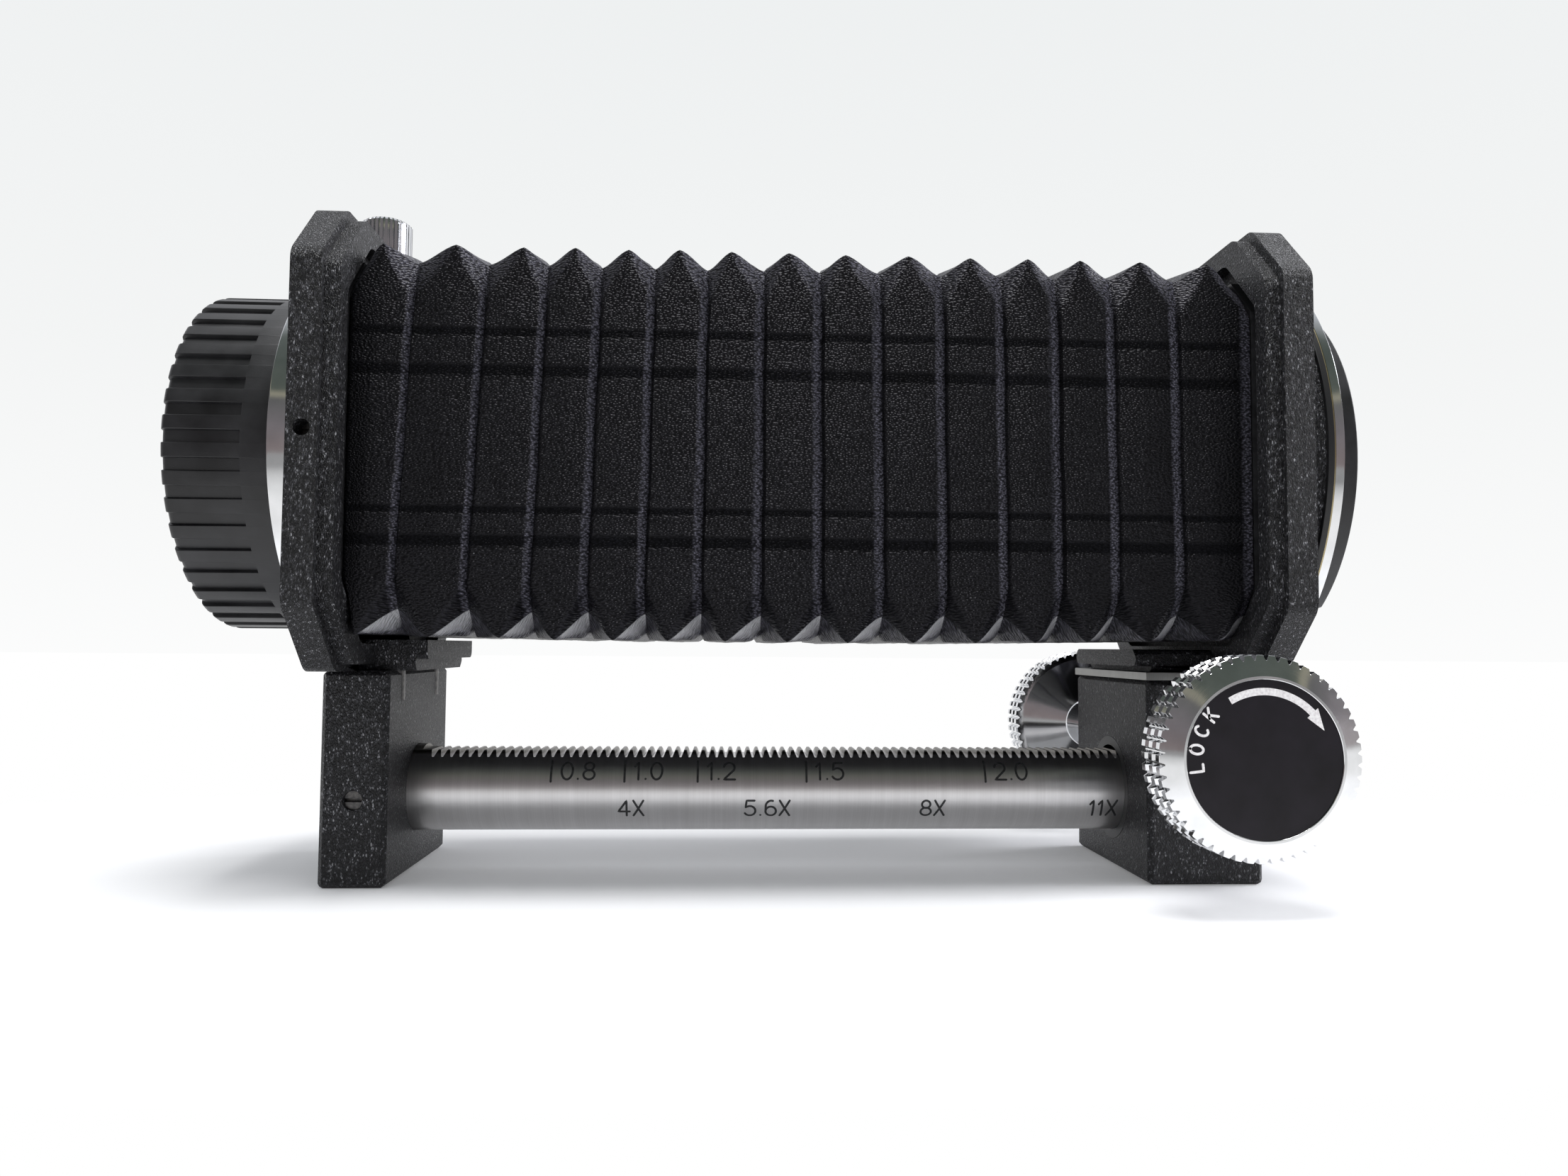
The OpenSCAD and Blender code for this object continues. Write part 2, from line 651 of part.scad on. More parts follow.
module block_cover() {
    color("#5a5a58") difference() {
        translate([block_rear_x - cover_lip, -foot_w / 2 - cover_lip, block_h])
            cube([block_t + 2 * cover_lip, foot_w + 2 * cover_lip, cover_t]);
        shelf_screw_pair(front_screw_x, front_base_z + front_shelf_t, true);
    }
}

module rail_sleeves() {
    for (x = [block_rear_x, block_front_x - bush_l]) {
        color("#232325") difference() {
            x_rod(x, x + bush_l, bush_r, rail_z);
            x_rod(x - past, x + bush_l + past, rail_r + run_fit, rail_z);
        }
    }
}

// ---- Front standard: plate, rim, shelf and the round boss under the lens ring
module front_standard() {
    shelf_x = block_rear_x - front_overhang;
    color("#18181a") difference() {
        union() {
            x_slab(front_inner_x, block_front_x) plate_outline(front_base_z);
            plate_rim(front_inner_x - rim_t, front_inner_x + eps, front_base_z);
            intersection() {
                x_rod(block_front_x - eps, seat_x, lens_ring_r - boss_step, axis_z);
                translate([block_front_x - past, -plate_half, front_base_z])
                    cube([boss_t + 2 * past, 2 * plate_half, plate_h]);
            }
            y_slab(-shelf_w / 2, shelf_w / 2) polygon([
                [front_inner_x + eps, front_base_z], [block_rear_x + shelf_step_back, front_base_z],
                [block_rear_x + shelf_step_back, front_base_z + shelf_step_t / 2],
                [shelf_x, front_base_z + shelf_step_t / 2],
                [shelf_x, front_base_z + front_shelf_t],
                [front_inner_x + eps, front_base_z + front_shelf_t]]);
        }
        x_rod(front_inner_x - past, seat_x + past, lens_hub_r + screw_fit, axis_z);
        shelf_screw_pair(front_screw_x, front_base_z + front_shelf_t, true);
        frame_screw_set(front_inner_x - frame_t, 1, true);
        lens_screw_set(true);
    }
}

module front_shelf_screws() {
    color("#3a3a3c") shelf_screw_pair(front_screw_x, front_base_z + front_shelf_t);
}

// ---- Lens end: a chromed ring with the female screw thread, and its cap
module lens_ring() {
    color("#c8ccd0") difference() {
        x_turned([
            [light_r, seat_x - lens_hub_l], [lens_hub_r, seat_x - lens_hub_l], [lens_hub_r, seat_x],
            [lens_ring_r, seat_x], [lens_ring_r, lens_face_x], [thread_r, lens_face_x],
            [thread_r, lens_face_x - thread_l], [light_r, lens_face_x - thread_l]]);
        lens_screw_set(true);
    }
}

module lens_ring_screws() {
    color("#8a8a8a") lens_screw_set();
}

module body_cap() {
    rim_x = lens_face_x + end_gap;
    end_x = rim_x + body_cap_t;
    color("#121214") difference() {
        union() {
            x_rod(lens_face_x - body_cap_plug, rim_x + eps, thread_r - run_fit, axis_z);
            intersection() {
                x_rod(rim_x, end_x, body_cap_r, axis_z);
                union() {
                    x_rod(rim_x, end_x, body_cap_r - body_cap_flat, axis_z);
                    x_slab(rim_x, end_x) translate([0, axis_z])
                        square([2 * body_cap_r, body_cap_full_h], center = true);
                }
            }
        }
        x_rod(lens_face_x - body_cap_plug - past, end_x - cap_wall, light_r, axis_z);
    }
}

// ---- Pinion cut on its own shaft
module pinion_shaft() {
    gear = [for (i = [0 : pinion_teeth - 1], q = [[-tooth_root_a, tooth_root_r], [-tooth_pitch_a, pitch_r],
            [-tooth_tip_a, tooth_tip_r], [tooth_tip_a, tooth_tip_r],
            [tooth_pitch_a, pitch_r], [tooth_root_a, tooth_root_r]])
        q[1] * [cos(i * 360 / pinion_teeth - 90 + q[0]), sin(i * 360 / pinion_teeth - 90 + q[0])]];
    color("#a0a0a0") {
        translate([pinion_x, 0, pinion_z]) y_slab(-pinion_w / 2, pinion_w / 2) polygon(gear);
        y_rod(-shaft_tip, -pinion_w / 2, shaft_r - run_fit, pinion_x, pinion_z);
        y_rod(pinion_w / 2, knob_back + knurl_w / 2, shaft_r - run_fit, pinion_x, pinion_z);
    }
}

module bearing(side) {
    color("#a98c4a") mirror([0, side > 0 ? 0 : 1, 0]) difference() {
        y_rod(bearing_in, foot_w / 2, bearing_r, pinion_x, pinion_z);
        y_rod(bearing_in - past, foot_w / 2 + past, shaft_r, pinion_x, pinion_z);
    }
}

module focus_bearing() {
    bearing(1);
}

module clamp_bearing() {
    bearing(-1);
}

// ---- Knobs: three knurled rows, a coned back, a hub and a bevelled face with a black disc
module knob_body(bore_r, bore_end) {
    translate([pinion_x, 0, pinion_z]) difference() {
        union() {
            rotate([-90, 0, 0]) rotate_extrude() polygon([
                [0, hub_start], [hub_r, hub_start], [hub_r, knob_back - cone_h],
                [knob_root_r - cone_rim, knob_back], [knob_root_r, knob_back],
                [knob_root_r, knob_front], [disc_r + disc_lip, knob_front + bevel_h],
                [disc_r, knob_front + bevel_h],
                [disc_r, knob_front + bevel_h - disc_depth], [0, knob_front + bevel_h - disc_depth]]);
            for (row = [0 : knurl_rows - 1]) {
                y_slab(knob_back + row * (knurl_row_w + knurl_gap),
                       knob_back + row * (knurl_row_w + knurl_gap) + knurl_row_w)
                    polygon(ribbed(knurl_teeth, knob_r, knob_root_r - eps, knurl_tooth));
            }
        }
        y_rod(hub_start - past, bore_end, bore_r);
    }
}

// The black disc in a knob's face
module knob_disc() {
    y_rod(knob_front + bevel_h - disc_depth, knob_front + bevel_h - disc_sink, disc_r - screw_fit,
          pinion_x, pinion_z);
}

module focus_knob() {
    color("#c8ccd0") difference() {
        knob_body(shaft_r - run_fit + screw_fit, knob_back + knurl_w / 2 + screw_fit);
        focus_grub(true);
    }
}

// The grub screw in the focusing knob's hub, or its hole
module focus_grub(hole = false) {
    translate([pinion_x, hub_start + knob_stand / 2, pinion_z - shaft_r])
        rotate([180, 0, 0])
            cylinder(h = hub_r - shaft_r + (hole ? past : -grub_sink),
                     r = small_screw_r + (hole ? screw_fit : 0));
}

module focus_knob_disc() {
    color("#161418") knob_disc();
}

module focus_knob_grub() {
    color("#2a2a2a") focus_grub();
}

module clamp_knob() {
    color("#c8ccd0") mirror([0, 1, 0]) knob_body(stud_r + screw_fit, knob_back + knurl_w / 2 + screw_fit);
}

module clamp_knob_disc() {
    color("#161418") mirror([0, 1, 0]) knob_disc();
}

// The clamp's screwed stud, fixed in the knob, and the pad it presses on the shaft's end
module clamp_stud() {
    color("#9a9a98") mirror([0, 1, 0])
        y_rod(foot_w / 2 - stud_l, knob_back + knurl_w / 2, stud_r, pinion_x, pinion_z);
}

module clamp_pad() {
    color("#b08d45") mirror([0, 1, 0])
        y_rod(foot_w / 2 - stud_l - pad_t, foot_w / 2 - stud_l, stud_r - run_fit, pinion_x, pinion_z);
}

rear_foot();
rear_standard();
rear_shelf_screws();
rail();
rail_set_screw();
rear_bellows_frame();
rear_frame_screws();
bellows();
ring_grub_screws();
camera_ring();
lock_screw();
rear_cap();
front_block();
block_cover();
rail_sleeves();
front_standard();
front_shelf_screws();
front_bellows_frame();
front_frame_screws();
lens_ring();
lens_ring_screws();
body_cap();
pinion_shaft();
focus_bearing();
focus_knob();
focus_knob_disc();
focus_knob_grub();
clamp_bearing();
clamp_knob();
clamp_knob_disc();
clamp_stud();
clamp_pad();
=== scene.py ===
# A macro bellows unit: the looks of each piece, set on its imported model.
import math

import bmesh
import bpy
import numpy as np
from mathutils import Matrix, Vector


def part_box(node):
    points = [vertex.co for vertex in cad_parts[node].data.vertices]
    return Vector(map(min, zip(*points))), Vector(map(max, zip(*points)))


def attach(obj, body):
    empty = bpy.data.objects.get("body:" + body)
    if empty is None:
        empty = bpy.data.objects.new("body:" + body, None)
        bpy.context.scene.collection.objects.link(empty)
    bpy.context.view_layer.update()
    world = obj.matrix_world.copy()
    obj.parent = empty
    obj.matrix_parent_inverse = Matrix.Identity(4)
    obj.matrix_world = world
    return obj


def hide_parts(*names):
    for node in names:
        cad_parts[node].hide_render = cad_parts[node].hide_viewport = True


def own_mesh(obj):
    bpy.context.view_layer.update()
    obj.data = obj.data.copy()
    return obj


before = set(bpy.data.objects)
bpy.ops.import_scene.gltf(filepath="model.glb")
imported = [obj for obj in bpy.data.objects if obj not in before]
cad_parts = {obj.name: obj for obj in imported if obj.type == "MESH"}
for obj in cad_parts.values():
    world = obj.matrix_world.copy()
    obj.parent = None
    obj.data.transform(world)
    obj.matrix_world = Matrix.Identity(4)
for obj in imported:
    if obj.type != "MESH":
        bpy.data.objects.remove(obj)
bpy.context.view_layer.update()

mm = 0.001

# ---- Camera
# The photograph is taken from the clamp knob's side, close to and a little above the feet,
# so that the plates lean outwards in perspective.
photo_width_px = 2212
focal_px = 1552
sensor_mm = 36
eye = Vector((47.3, -158.54, 31.09)) * mm
yaw, pitch, roll = 0.0520, 0.0530, 0.0069

look = Vector((math.sin(yaw) * math.cos(pitch), math.cos(yaw) * math.cos(pitch), math.sin(pitch)))
level = Vector((math.cos(yaw), -math.sin(yaw), 0))
upward = level.cross(look)
right = level * math.cos(roll) + upward * math.sin(roll)
top = upward * math.cos(roll) - level * math.sin(roll)
camera = bpy.data.objects.new("camera", bpy.data.cameras.new("camera"))
camera.data.sensor_width = sensor_mm
camera.data.lens = focal_px / photo_width_px * sensor_mm
camera.data.clip_start = 0.005
camera.data.clip_end = 20
camera.matrix_world = Matrix.Translation(eye) @ Matrix((right, top, -look)).transposed().to_4x4()
bpy.context.scene.collection.objects.link(camera)
bpy.context.scene.camera = camera
bpy.context.scene.view_settings.view_transform = "Standard"

# ---- Floor and light
# A plain white table, a pale back wall and a dim room in front, under one soft lamp
# and another at the right.


def wire(tree, kind, inputs=None, **settings):
    """Adds a node with its settings; inputs are plain values or other nodes' output sockets."""
    node = tree.nodes.new(kind)
    for name, value in settings.items():
        setattr(node, name, value)
    for name, value in (inputs or {}).items():
        if isinstance(value, bpy.types.NodeSocket):
            tree.links.new(value, node.inputs[name])
        else:
            node.inputs[name].default_value = value
    return node


def ramp(tree, value, *stops):
    """A colour ramp; each stop is a place and a grey or a colour."""
    node = wire(tree, "ShaderNodeValToRGB", {"Fac": value})
    elements = node.color_ramp.elements
    for i, (position, _) in enumerate(stops):
        if i > 1:
            elements.new(position)
        elements[i].position = position
    for element, (_, colour) in zip(elements, stops):
        element.color = (*colour, 1) if isinstance(colour, tuple) else (colour, colour, colour, 1)
    return node.outputs["Color"]


def blend_colours(tree, factor, first, second):
    """The two colours mixed by the factor."""
    node = wire(tree, "ShaderNodeMix", {0: factor, 6: first, 7: second}, data_type="RGBA")
    return node.outputs[2]


def math_node(tree, operation, a, b=0.0, c=0.0):
    """A sum of numbers or of other nodes' values."""
    return wire(tree, "ShaderNodeMath", {0: a, 1: b, 2: c}, operation=operation).outputs[0]


def vector_node(tree, operation, *vectors):
    """A sum of vectors."""
    return wire(tree, "ShaderNodeVectorMath", dict(enumerate(vectors)), operation=operation).outputs


def rescaled(tree, value, low, high, to_low=0.0, to_high=1.0):
    """The value moved from one range into another, and kept inside it."""
    return wire(tree, "ShaderNodeMapRange", {"Value": value, "From Min": low, "From Max": high,
                                             "To Min": to_low, "To Max": to_high}).outputs[0]


def axis_parts(tree, vector):
    return wire(tree, "ShaderNodeSeparateXYZ", {0: vector}).outputs


def seen_directly(tree):
    """1 where the camera sees a surface, itself or in metal or glass."""
    rays = wire(tree, "ShaderNodeLightPath").outputs
    mirrored = math_node(tree, "MAXIMUM", rays["Is Glossy Ray"], rays["Is Transmission Ray"])
    return math_node(tree, "MAXIMUM", rays["Is Camera Ray"], mirrored)


table_white = (0.88, 0.885, 0.9, 1)
table_glow = 0.12
table_middle_x = 0.055
shadow_reach = (0.045, 0.15)
soft_light = 0.55
room = bpy.data.worlds.new("room")
bpy.context.scene.world = room
room.use_nodes = True
tree = room.node_tree
tree.nodes.clear()
direction = wire(tree, "ShaderNodeTexCoord").outputs["Generated"]
parts = axis_parts(tree, direction)
away = rescaled(tree, parts["Y"], -0.25, 0.12)
height = rescaled(tree, parts["Z"], -0.1, 1.0)
front_room = ramp(tree, height, (0.0, (0.30, 0.27, 0.26)), (0.1, (0.24, 0.20, 0.20)),
                  (0.3, (0.20, 0.18, 0.19)), (0.52, (0.13, 0.13, 0.13)), (0.56, (0.36, 0.34, 0.26)),
                  (0.60, (0.10, 0.115, 0.10)), (0.8, (0.08, 0.095, 0.085)), (1.0, (0.16, 0.18, 0.17)))
back_wall = ramp(tree, height, (0.0, (0.95, 0.95, 0.96)), (0.5, (0.90, 0.91, 0.94)),
                 (1.0, (0.62, 0.64, 0.68)))
reflected = blend_colours(tree, away, front_room, back_wall)
backdrop = ramp(tree, height, (0.0, 1.0), (0.14, (0.95, 0.955, 0.955)), (0.3, (0.90, 0.91, 0.91)),
                (0.6, (0.85, 0.87, 0.875)))
rays = wire(tree, "ShaderNodeLightPath").outputs
picture = blend_colours(tree, rays["Is Camera Ray"], reflected, backdrop)
seen = wire(tree, "ShaderNodeBackground", {"Color": picture, "Strength": 1.0})
soft = wire(tree, "ShaderNodeBackground", {"Color": (0.93, 0.96, 1.0, 1), "Strength": soft_light})
both = wire(tree, "ShaderNodeMixShader", {0: seen_directly(tree), 1: soft.outputs[0], 2: seen.outputs[0]})
wire(tree, "ShaderNodeOutputWorld", {"Surface": both.outputs[0]})

floor_half = 3.0
floor_z = -0.02 * mm
floor_mesh = bpy.data.meshes.new("floor")
floor_corners = [(x * floor_half, y * floor_half, floor_z) for x, y in ((-1, -1), (1, -1), (1, 1), (-1, 1))]
floor_mesh.from_pydata(floor_corners, [], [(0, 1, 2, 3)])
floor = bpy.data.objects.new("floor", floor_mesh)
bpy.context.scene.collection.objects.link(floor)
floor_paint = bpy.data.materials.new("white table")
floor_paint.use_nodes = True
tree = floor_paint.node_tree
tree.nodes.clear()
spot = wire(tree, "ShaderNodeTexCoord").outputs["Object"]
matt = wire(tree, "ShaderNodeBsdfDiffuse", {"Color": table_white})
glow = wire(tree, "ShaderNodeEmission", {"Color": (1, 1, 1, 1), "Strength": table_glow})
lit = wire(tree, "ShaderNodeAddShader", {0: matt.outputs[0], 1: glow.outputs[0]})
shade_front = rescaled(tree, axis_parts(tree, spot)["Y"], -0.35, -0.12, 0.35, 1.0)
mirrored = wire(tree, "ShaderNodeLightPath").outputs["Is Glossy Ray"]
plain_light = wire(tree, "ShaderNodeMix", {0: mirrored, 2: 1.0, 3: shade_front}).outputs[0]
plain = wire(tree, "ShaderNodeEmission", {"Color": (1, 1, 1, 1), "Strength": plain_light})
shadow_shape = (0.7, 1.8, 1.0)
from_middle = vector_node(tree, "MULTIPLY_ADD", spot, shadow_shape, (-0.7 * table_middle_x, 0.0, 0.0))[0]
off = vector_node(tree, "LENGTH", from_middle)["Value"]
far = rescaled(tree, off, *shadow_reach)
faded = wire(tree, "ShaderNodeMixShader", {0: far, 1: lit.outputs[0], 2: plain.outputs[0]})
mixed = wire(tree, "ShaderNodeMixShader", {0: seen_directly(tree), 1: matt.outputs[0], 2: faded.outputs[0]})
wire(tree, "ShaderNodeOutputMaterial", {"Surface": mixed.outputs[0]})
floor.data.materials.append(floor_paint)


def add_lamp(name, place, size, watts, colour=(1, 1, 1)):
    """A square lamp that faces the middle of the unit."""
    lamp = bpy.data.objects.new(name, bpy.data.lights.new(name, "AREA"))
    lamp.data.size = size
    lamp.data.energy = watts
    lamp.data.color = colour
    aim = Vector((table_middle_x, 0, 0.05))
    turn = (Vector(place) - aim).to_track_quat("Z", "Y").to_matrix().to_4x4()
    lamp.matrix_world = Matrix.Translation(place) @ turn
    bpy.context.scene.collection.objects.link(lamp)


add_lamp("overhead lamp", (0.07, -0.06, 0.62), 0.30, 4.0)
add_lamp("right lamp", (0.76, 0.10, 0.30), 0.42, 5.0, (0.95, 0.95, 1.0))

# ---- Castings: foot, block and the two standards
# Each is an aluminium casting, milled on its working faces and then enamelled all over
# in black, which shrinks to a fine crackle as it dries. The enamel is thinner on the edges.
casting_radius = 0.35 * mm
corner_radius = 1.0 * mm
optical_z = 56.1 * mm


def new_finish(name, **settings):
    """A material with plain settings on its one shader, and its tree, shader and place on the piece."""
    material = bpy.data.materials.new(name)
    material.use_nodes = True
    shader = material.node_tree.nodes["Principled BSDF"]
    for key, value in settings.items():
        shader.inputs[key.replace("_", " ")].default_value = value
    place = wire(material.node_tree, "ShaderNodeTexCoord").outputs["Object"]
    return material, material.node_tree, shader, place


def raise_surface(tree, shader, height, depth, strength=1.0, under=None):
    """Bump of that depth in metres, on top of an earlier one."""
    inputs = {"Height": height, "Distance": depth, "Strength": strength}
    if under is not None:
        inputs["Normal"] = under
    bump = wire(tree, "ShaderNodeBump", inputs).outputs[0]
    tree.links.new(bump, shader.inputs["Normal"])
    return bump


def noise(tree, place, scale, detail=2.0):
    """Cloudy values from 0 to 1, at so many spots to the metre."""
    inputs = {"Vector": place, "Scale": scale, "Detail": detail}
    return wire(tree, "ShaderNodeTexNoise", inputs).outputs["Fac"]


def stretched(tree, place, *scale):
    """The place with its axes scaled, so that a texture on it is drawn out."""
    return wire(tree, "ShaderNodeMapping", {0: place, "Scale": scale}).outputs[0]


def crackle_enamel():
    """Black crackle enamel: upright wrinkles about 0.2 mm wide, raised between fine cracks, with pale flecks
    painted on the highest crests as glints.
    """
    material, tree, shader, place = new_finish("crackle enamel", Roughness=0.42)
    shader.inputs["Specular IOR Level"].default_value = 0.4
    wander = wire(tree, "ShaderNodeTexNoise", {"Vector": place, "Scale": 1500.0}).outputs["Color"]
    tall = stretched(tree, place, 1.0, 1.0, 0.5)
    warped = vector_node(tree, "MULTIPLY_ADD", wander, (0.3 * mm, 0.3 * mm, 0.3 * mm), tall)[0]
    cells = wire(tree, "ShaderNodeTexVoronoi", {"Vector": warped, "Scale": 4200.0},
                 feature="DISTANCE_TO_EDGE").outputs["Distance"]
    raised = ramp(tree, cells, (0.0, 0.0), (0.2, 0.6), (0.5, 1.0))
    fine = noise(tree, place, 11000.0, 3.0)
    coat = math_node(tree, "MULTIPLY_ADD", fine, 0.5, raised)
    raise_surface(tree, shader, coat, 0.1 * mm, 1.0)
    patches = noise(tree, tall, 3300.0, 4.0)
    # Painted glints: where a raised wrinkle meets a lighter patch, the colour climbs to pale grey, so the
    # highest crests show bright flecks.
    tone = math_node(tree, "MULTIPLY_ADD", raised, 0.25, patches)
    colour = ramp(tree, tone, (0.50, (0.003, 0.003, 0.004)), (0.64, (0.010, 0.010, 0.012)),
                  (0.76, (0.05, 0.05, 0.056)), (0.86, (0.28, 0.28, 0.29)))
    tree.links.new(colour, shader.inputs["Base Color"])
    tree.links.new(rescaled(tree, fine, 0, 1, 0.28, 0.6), shader.inputs["Roughness"])
    return material


def new_piece(name, mesh, material, body, slot, *replaced):
    """Puts a finished mesh in the scene, riding on its body for the nodes that it stands for."""
    piece = bpy.data.objects.new(name, mesh)
    bpy.context.scene.collection.objects.link(piece)
    mesh.materials.clear()
    mesh.materials.append(material)
    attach(piece, body)
    if replaced:
        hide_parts(*replaced)
    return piece


def shade(mesh, angle):
    """Smooth shading that breaks at edges sharper than the angle, with flat faces kept flat."""
    mesh.polygons.foreach_set("use_smooth", [True] * len(mesh.polygons))
    mesh.set_sharp_from_angle(angle=math.radians(angle))
    carrier = bpy.data.objects.new("carrier", mesh)
    bpy.context.scene.collection.objects.link(carrier)
    weighted = carrier.modifiers.new("weights", "WEIGHTED_NORMAL")
    weighted.keep_sharp = True
    weighted.weight = 100
    bpy.context.view_layer.update()
    done = bpy.data.meshes.new_from_object(carrier.evaluated_get(bpy.context.evaluated_depsgraph_get()))
    bpy.data.objects.remove(carrier)
    done.name = mesh.name
    return done


def on_outline(edge):
    """Whether the edge is one of a standard's eight outer corners, which run along X."""
    along = edge.verts[1].co - edge.verts[0].co
    middle = (edge.verts[1].co + edge.verts[0].co) / 2 - Vector((0, 0, optical_z))
    return (len(edge.link_faces) == 2 and edge.calc_face_angle() > math.radians(20)
            and abs(along.x) > 0.99 * along.length and math.hypot(middle.y, middle.z) > 28 * mm
            and middle.z > -29.5 * mm)


def eased(node, radius, sharper_than=30, segments=2, outline=0):
    """A CAD node's mesh with its sharp edges rounded, and its outline's corners by a radius of their own."""
    work = bmesh.new()
    work.from_mesh(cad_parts[node].data)
    bmesh.ops.remove_doubles(work, verts=work.verts, dist=0.0005 * mm)
    bmesh.ops.dissolve_limit(work, angle_limit=math.radians(0.1), verts=work.verts, edges=work.edges)
    if outline:
        corners = [e for e in work.edges if on_outline(e)]
        bmesh.ops.bevel(work, geom=corners, offset=outline, offset_type="OFFSET", segments=4,
                        profile=0.5, affect="EDGES")
    sharp = [e for e in work.edges
             if len(e.link_faces) == 2 and e.calc_face_angle() > math.radians(sharper_than)]
    if radius:
        bmesh.ops.bevel(work, geom=sharp, offset=radius, offset_type="OFFSET", segments=segments,
                        profile=0.5, affect="EDGES", clamp_overlap=True)
    mesh = bpy.data.meshes.new(node)
    work.to_mesh(mesh)
    work.free()
    for name in ("custom_normal", "sharp_edge", "sharp_face"):
        if name in mesh.attributes:
            mesh.attributes.remove(mesh.attributes[name])
    return shade(mesh, 40)


enamel = crackle_enamel()
for node, body, outline in (("rear_foot", "rear_frame", 0), ("rear_standard", "rear_frame", corner_radius),
                            ("front_block", "carriage", 0), ("front_standard", "carriage", corner_radius)):
    casting = eased(node, casting_radius, outline=outline)
    new_piece(node + "_cast", casting, enamel, body, "crackle_black", node)

# ---- Cover plate
# A thin plate between the sliding block and the front standard. Its face is blackened,
# and its edges are bare where they rub.
cover_edge = 0.12 * mm


def worn_cover():
    """Blackened metal whose sides are bare, with fine upright scratches."""
    material, tree, shader, place = new_finish("worn cover plate", Metallic=1.0)
    normal = wire(tree, "ShaderNodeNewGeometry").outputs["Normal"]
    face = math_node(tree, "POWER", math_node(tree, "ABSOLUTE", axis_parts(tree, normal)["Z"]), 3.0)
    rub = noise(tree, place, 700.0, 4.0)
    bare = math_node(tree, "SUBTRACT", math_node(tree, "MULTIPLY_ADD", rub, 0.5, 0.75), face)
    colour = ramp(tree, bare, (0.1, (0.02, 0.02, 0.021)), (0.5, (0.10, 0.10, 0.095)),
                  (0.9, (0.27, 0.27, 0.26)))
    tree.links.new(colour, shader.inputs["Base Color"])
    scratches = noise(tree, stretched(tree, place, 9000.0, 9000.0, 300.0), 1.0)
    tree.links.new(rescaled(tree, scratches, 0, 1, 0.28, 0.6), shader.inputs["Roughness"])
    raise_surface(tree, shader, scratches, 0.02 * mm, 0.6)
    return material


new_piece("block_cover_plate", eased("block_cover", cover_edge), worn_cover(), "carriage",
          "cover_metal", "block_cover")

# ---- Rail
# Ground steel rod, turned along its length so that very fine rings run round it. The rack's
# tooth spaces are cut into its top.
rail_radius = 6 * mm
rail_axis_z = 11.1 * mm
tooth_root_z = rail_axis_z + 4.8 * mm
tooth_tip_z = rail_axis_z + 5.2 * mm


def ground_steel():
    """Steel with fine rings round the rail, and painted shade darkening the top band where the rack's teeth
    are cut.
    """
    material, tree, shader, place = new_finish("ground steel", Metallic=1.0)
    rings = noise(tree, stretched(tree, place, 9000.0, 60.0, 60.0), 1.0, 3.0)
    bands = noise(tree, stretched(tree, place, 700.0, 20.0, 20.0), 1.0)
    raise_surface(tree, shader, rings, 0.0015 * mm, 0.6)
    colour = ramp(tree, math_node(tree, "MULTIPLY", rings, bands), (0.05, (0.54, 0.53, 0.53)),
                  (0.5, (0.66, 0.65, 0.65)))
    # Painted shade: above the root of the rack's teeth the steel is darkened, in patches, towards near black.
    tooth = rescaled(tree, axis_parts(tree, place)["Z"], tooth_root_z, tooth_tip_z)
    tooth_shade = math_node(tree, "MULTIPLY", tooth, math_node(tree, "ADD", noise(tree, place, 1500.0, 3.0), 0.4))
    dark = ramp(tree, tooth_shade, (0.0, (1, 1, 1)), (0.5, (0.30, 0.28, 0.24)), (0.9, (0.10, 0.09, 0.07)))
    wear_and_painted_light = wire(tree, "ShaderNodeMix", {0: 1.0, 6: colour, 7: dark}, data_type="RGBA",
                blend_type="MULTIPLY")
    tree.links.new(wear_and_painted_light.outputs[2], shader.inputs["Base Color"])
    tree.links.new(rescaled(tree, rings, 0, 1, 0.27, 0.36), shader.inputs["Roughness"])
    return material


new_piece("toothed_rail", eased("rail", 0), ground_steel(), "rear_frame", "rail_steel", "rail")

# ---- Scale on the rail
# Lines and figures for the magnification, cut by an engraver's single-stroke tool and filled
# with black. One row lies above the rail's middle, the other below it.
line_w = 0.3
inlay_depth = 0.012
figure_h = 2.45
lower_figure_h = 2.33
tick_h = 3.05
figure_gap = 1.4
upper_row = 27.6
lower_row = -23.0
upper_marks = ((23.55, "0.8"), (33.55, "1.0"), (43.55, "1.2"), (58.55, "1.5"), (83.55, "2.0"))
lower_marks = ((34.5, "4X"), (53.2, "5.6X"), (76.2, "8X"), (100.3, "11X"))


def bow(cx, cy, rx, ry, start, end, steps=14):
    """Points on a curved stroke, in shares of a figure's height, angles in degrees."""
    return [(cx + rx * math.cos(math.radians(start + (end - start) * i / steps)),
             cy + ry * math.sin(math.radians(start + (end - start) * i / steps))) for i in range(steps + 1)]


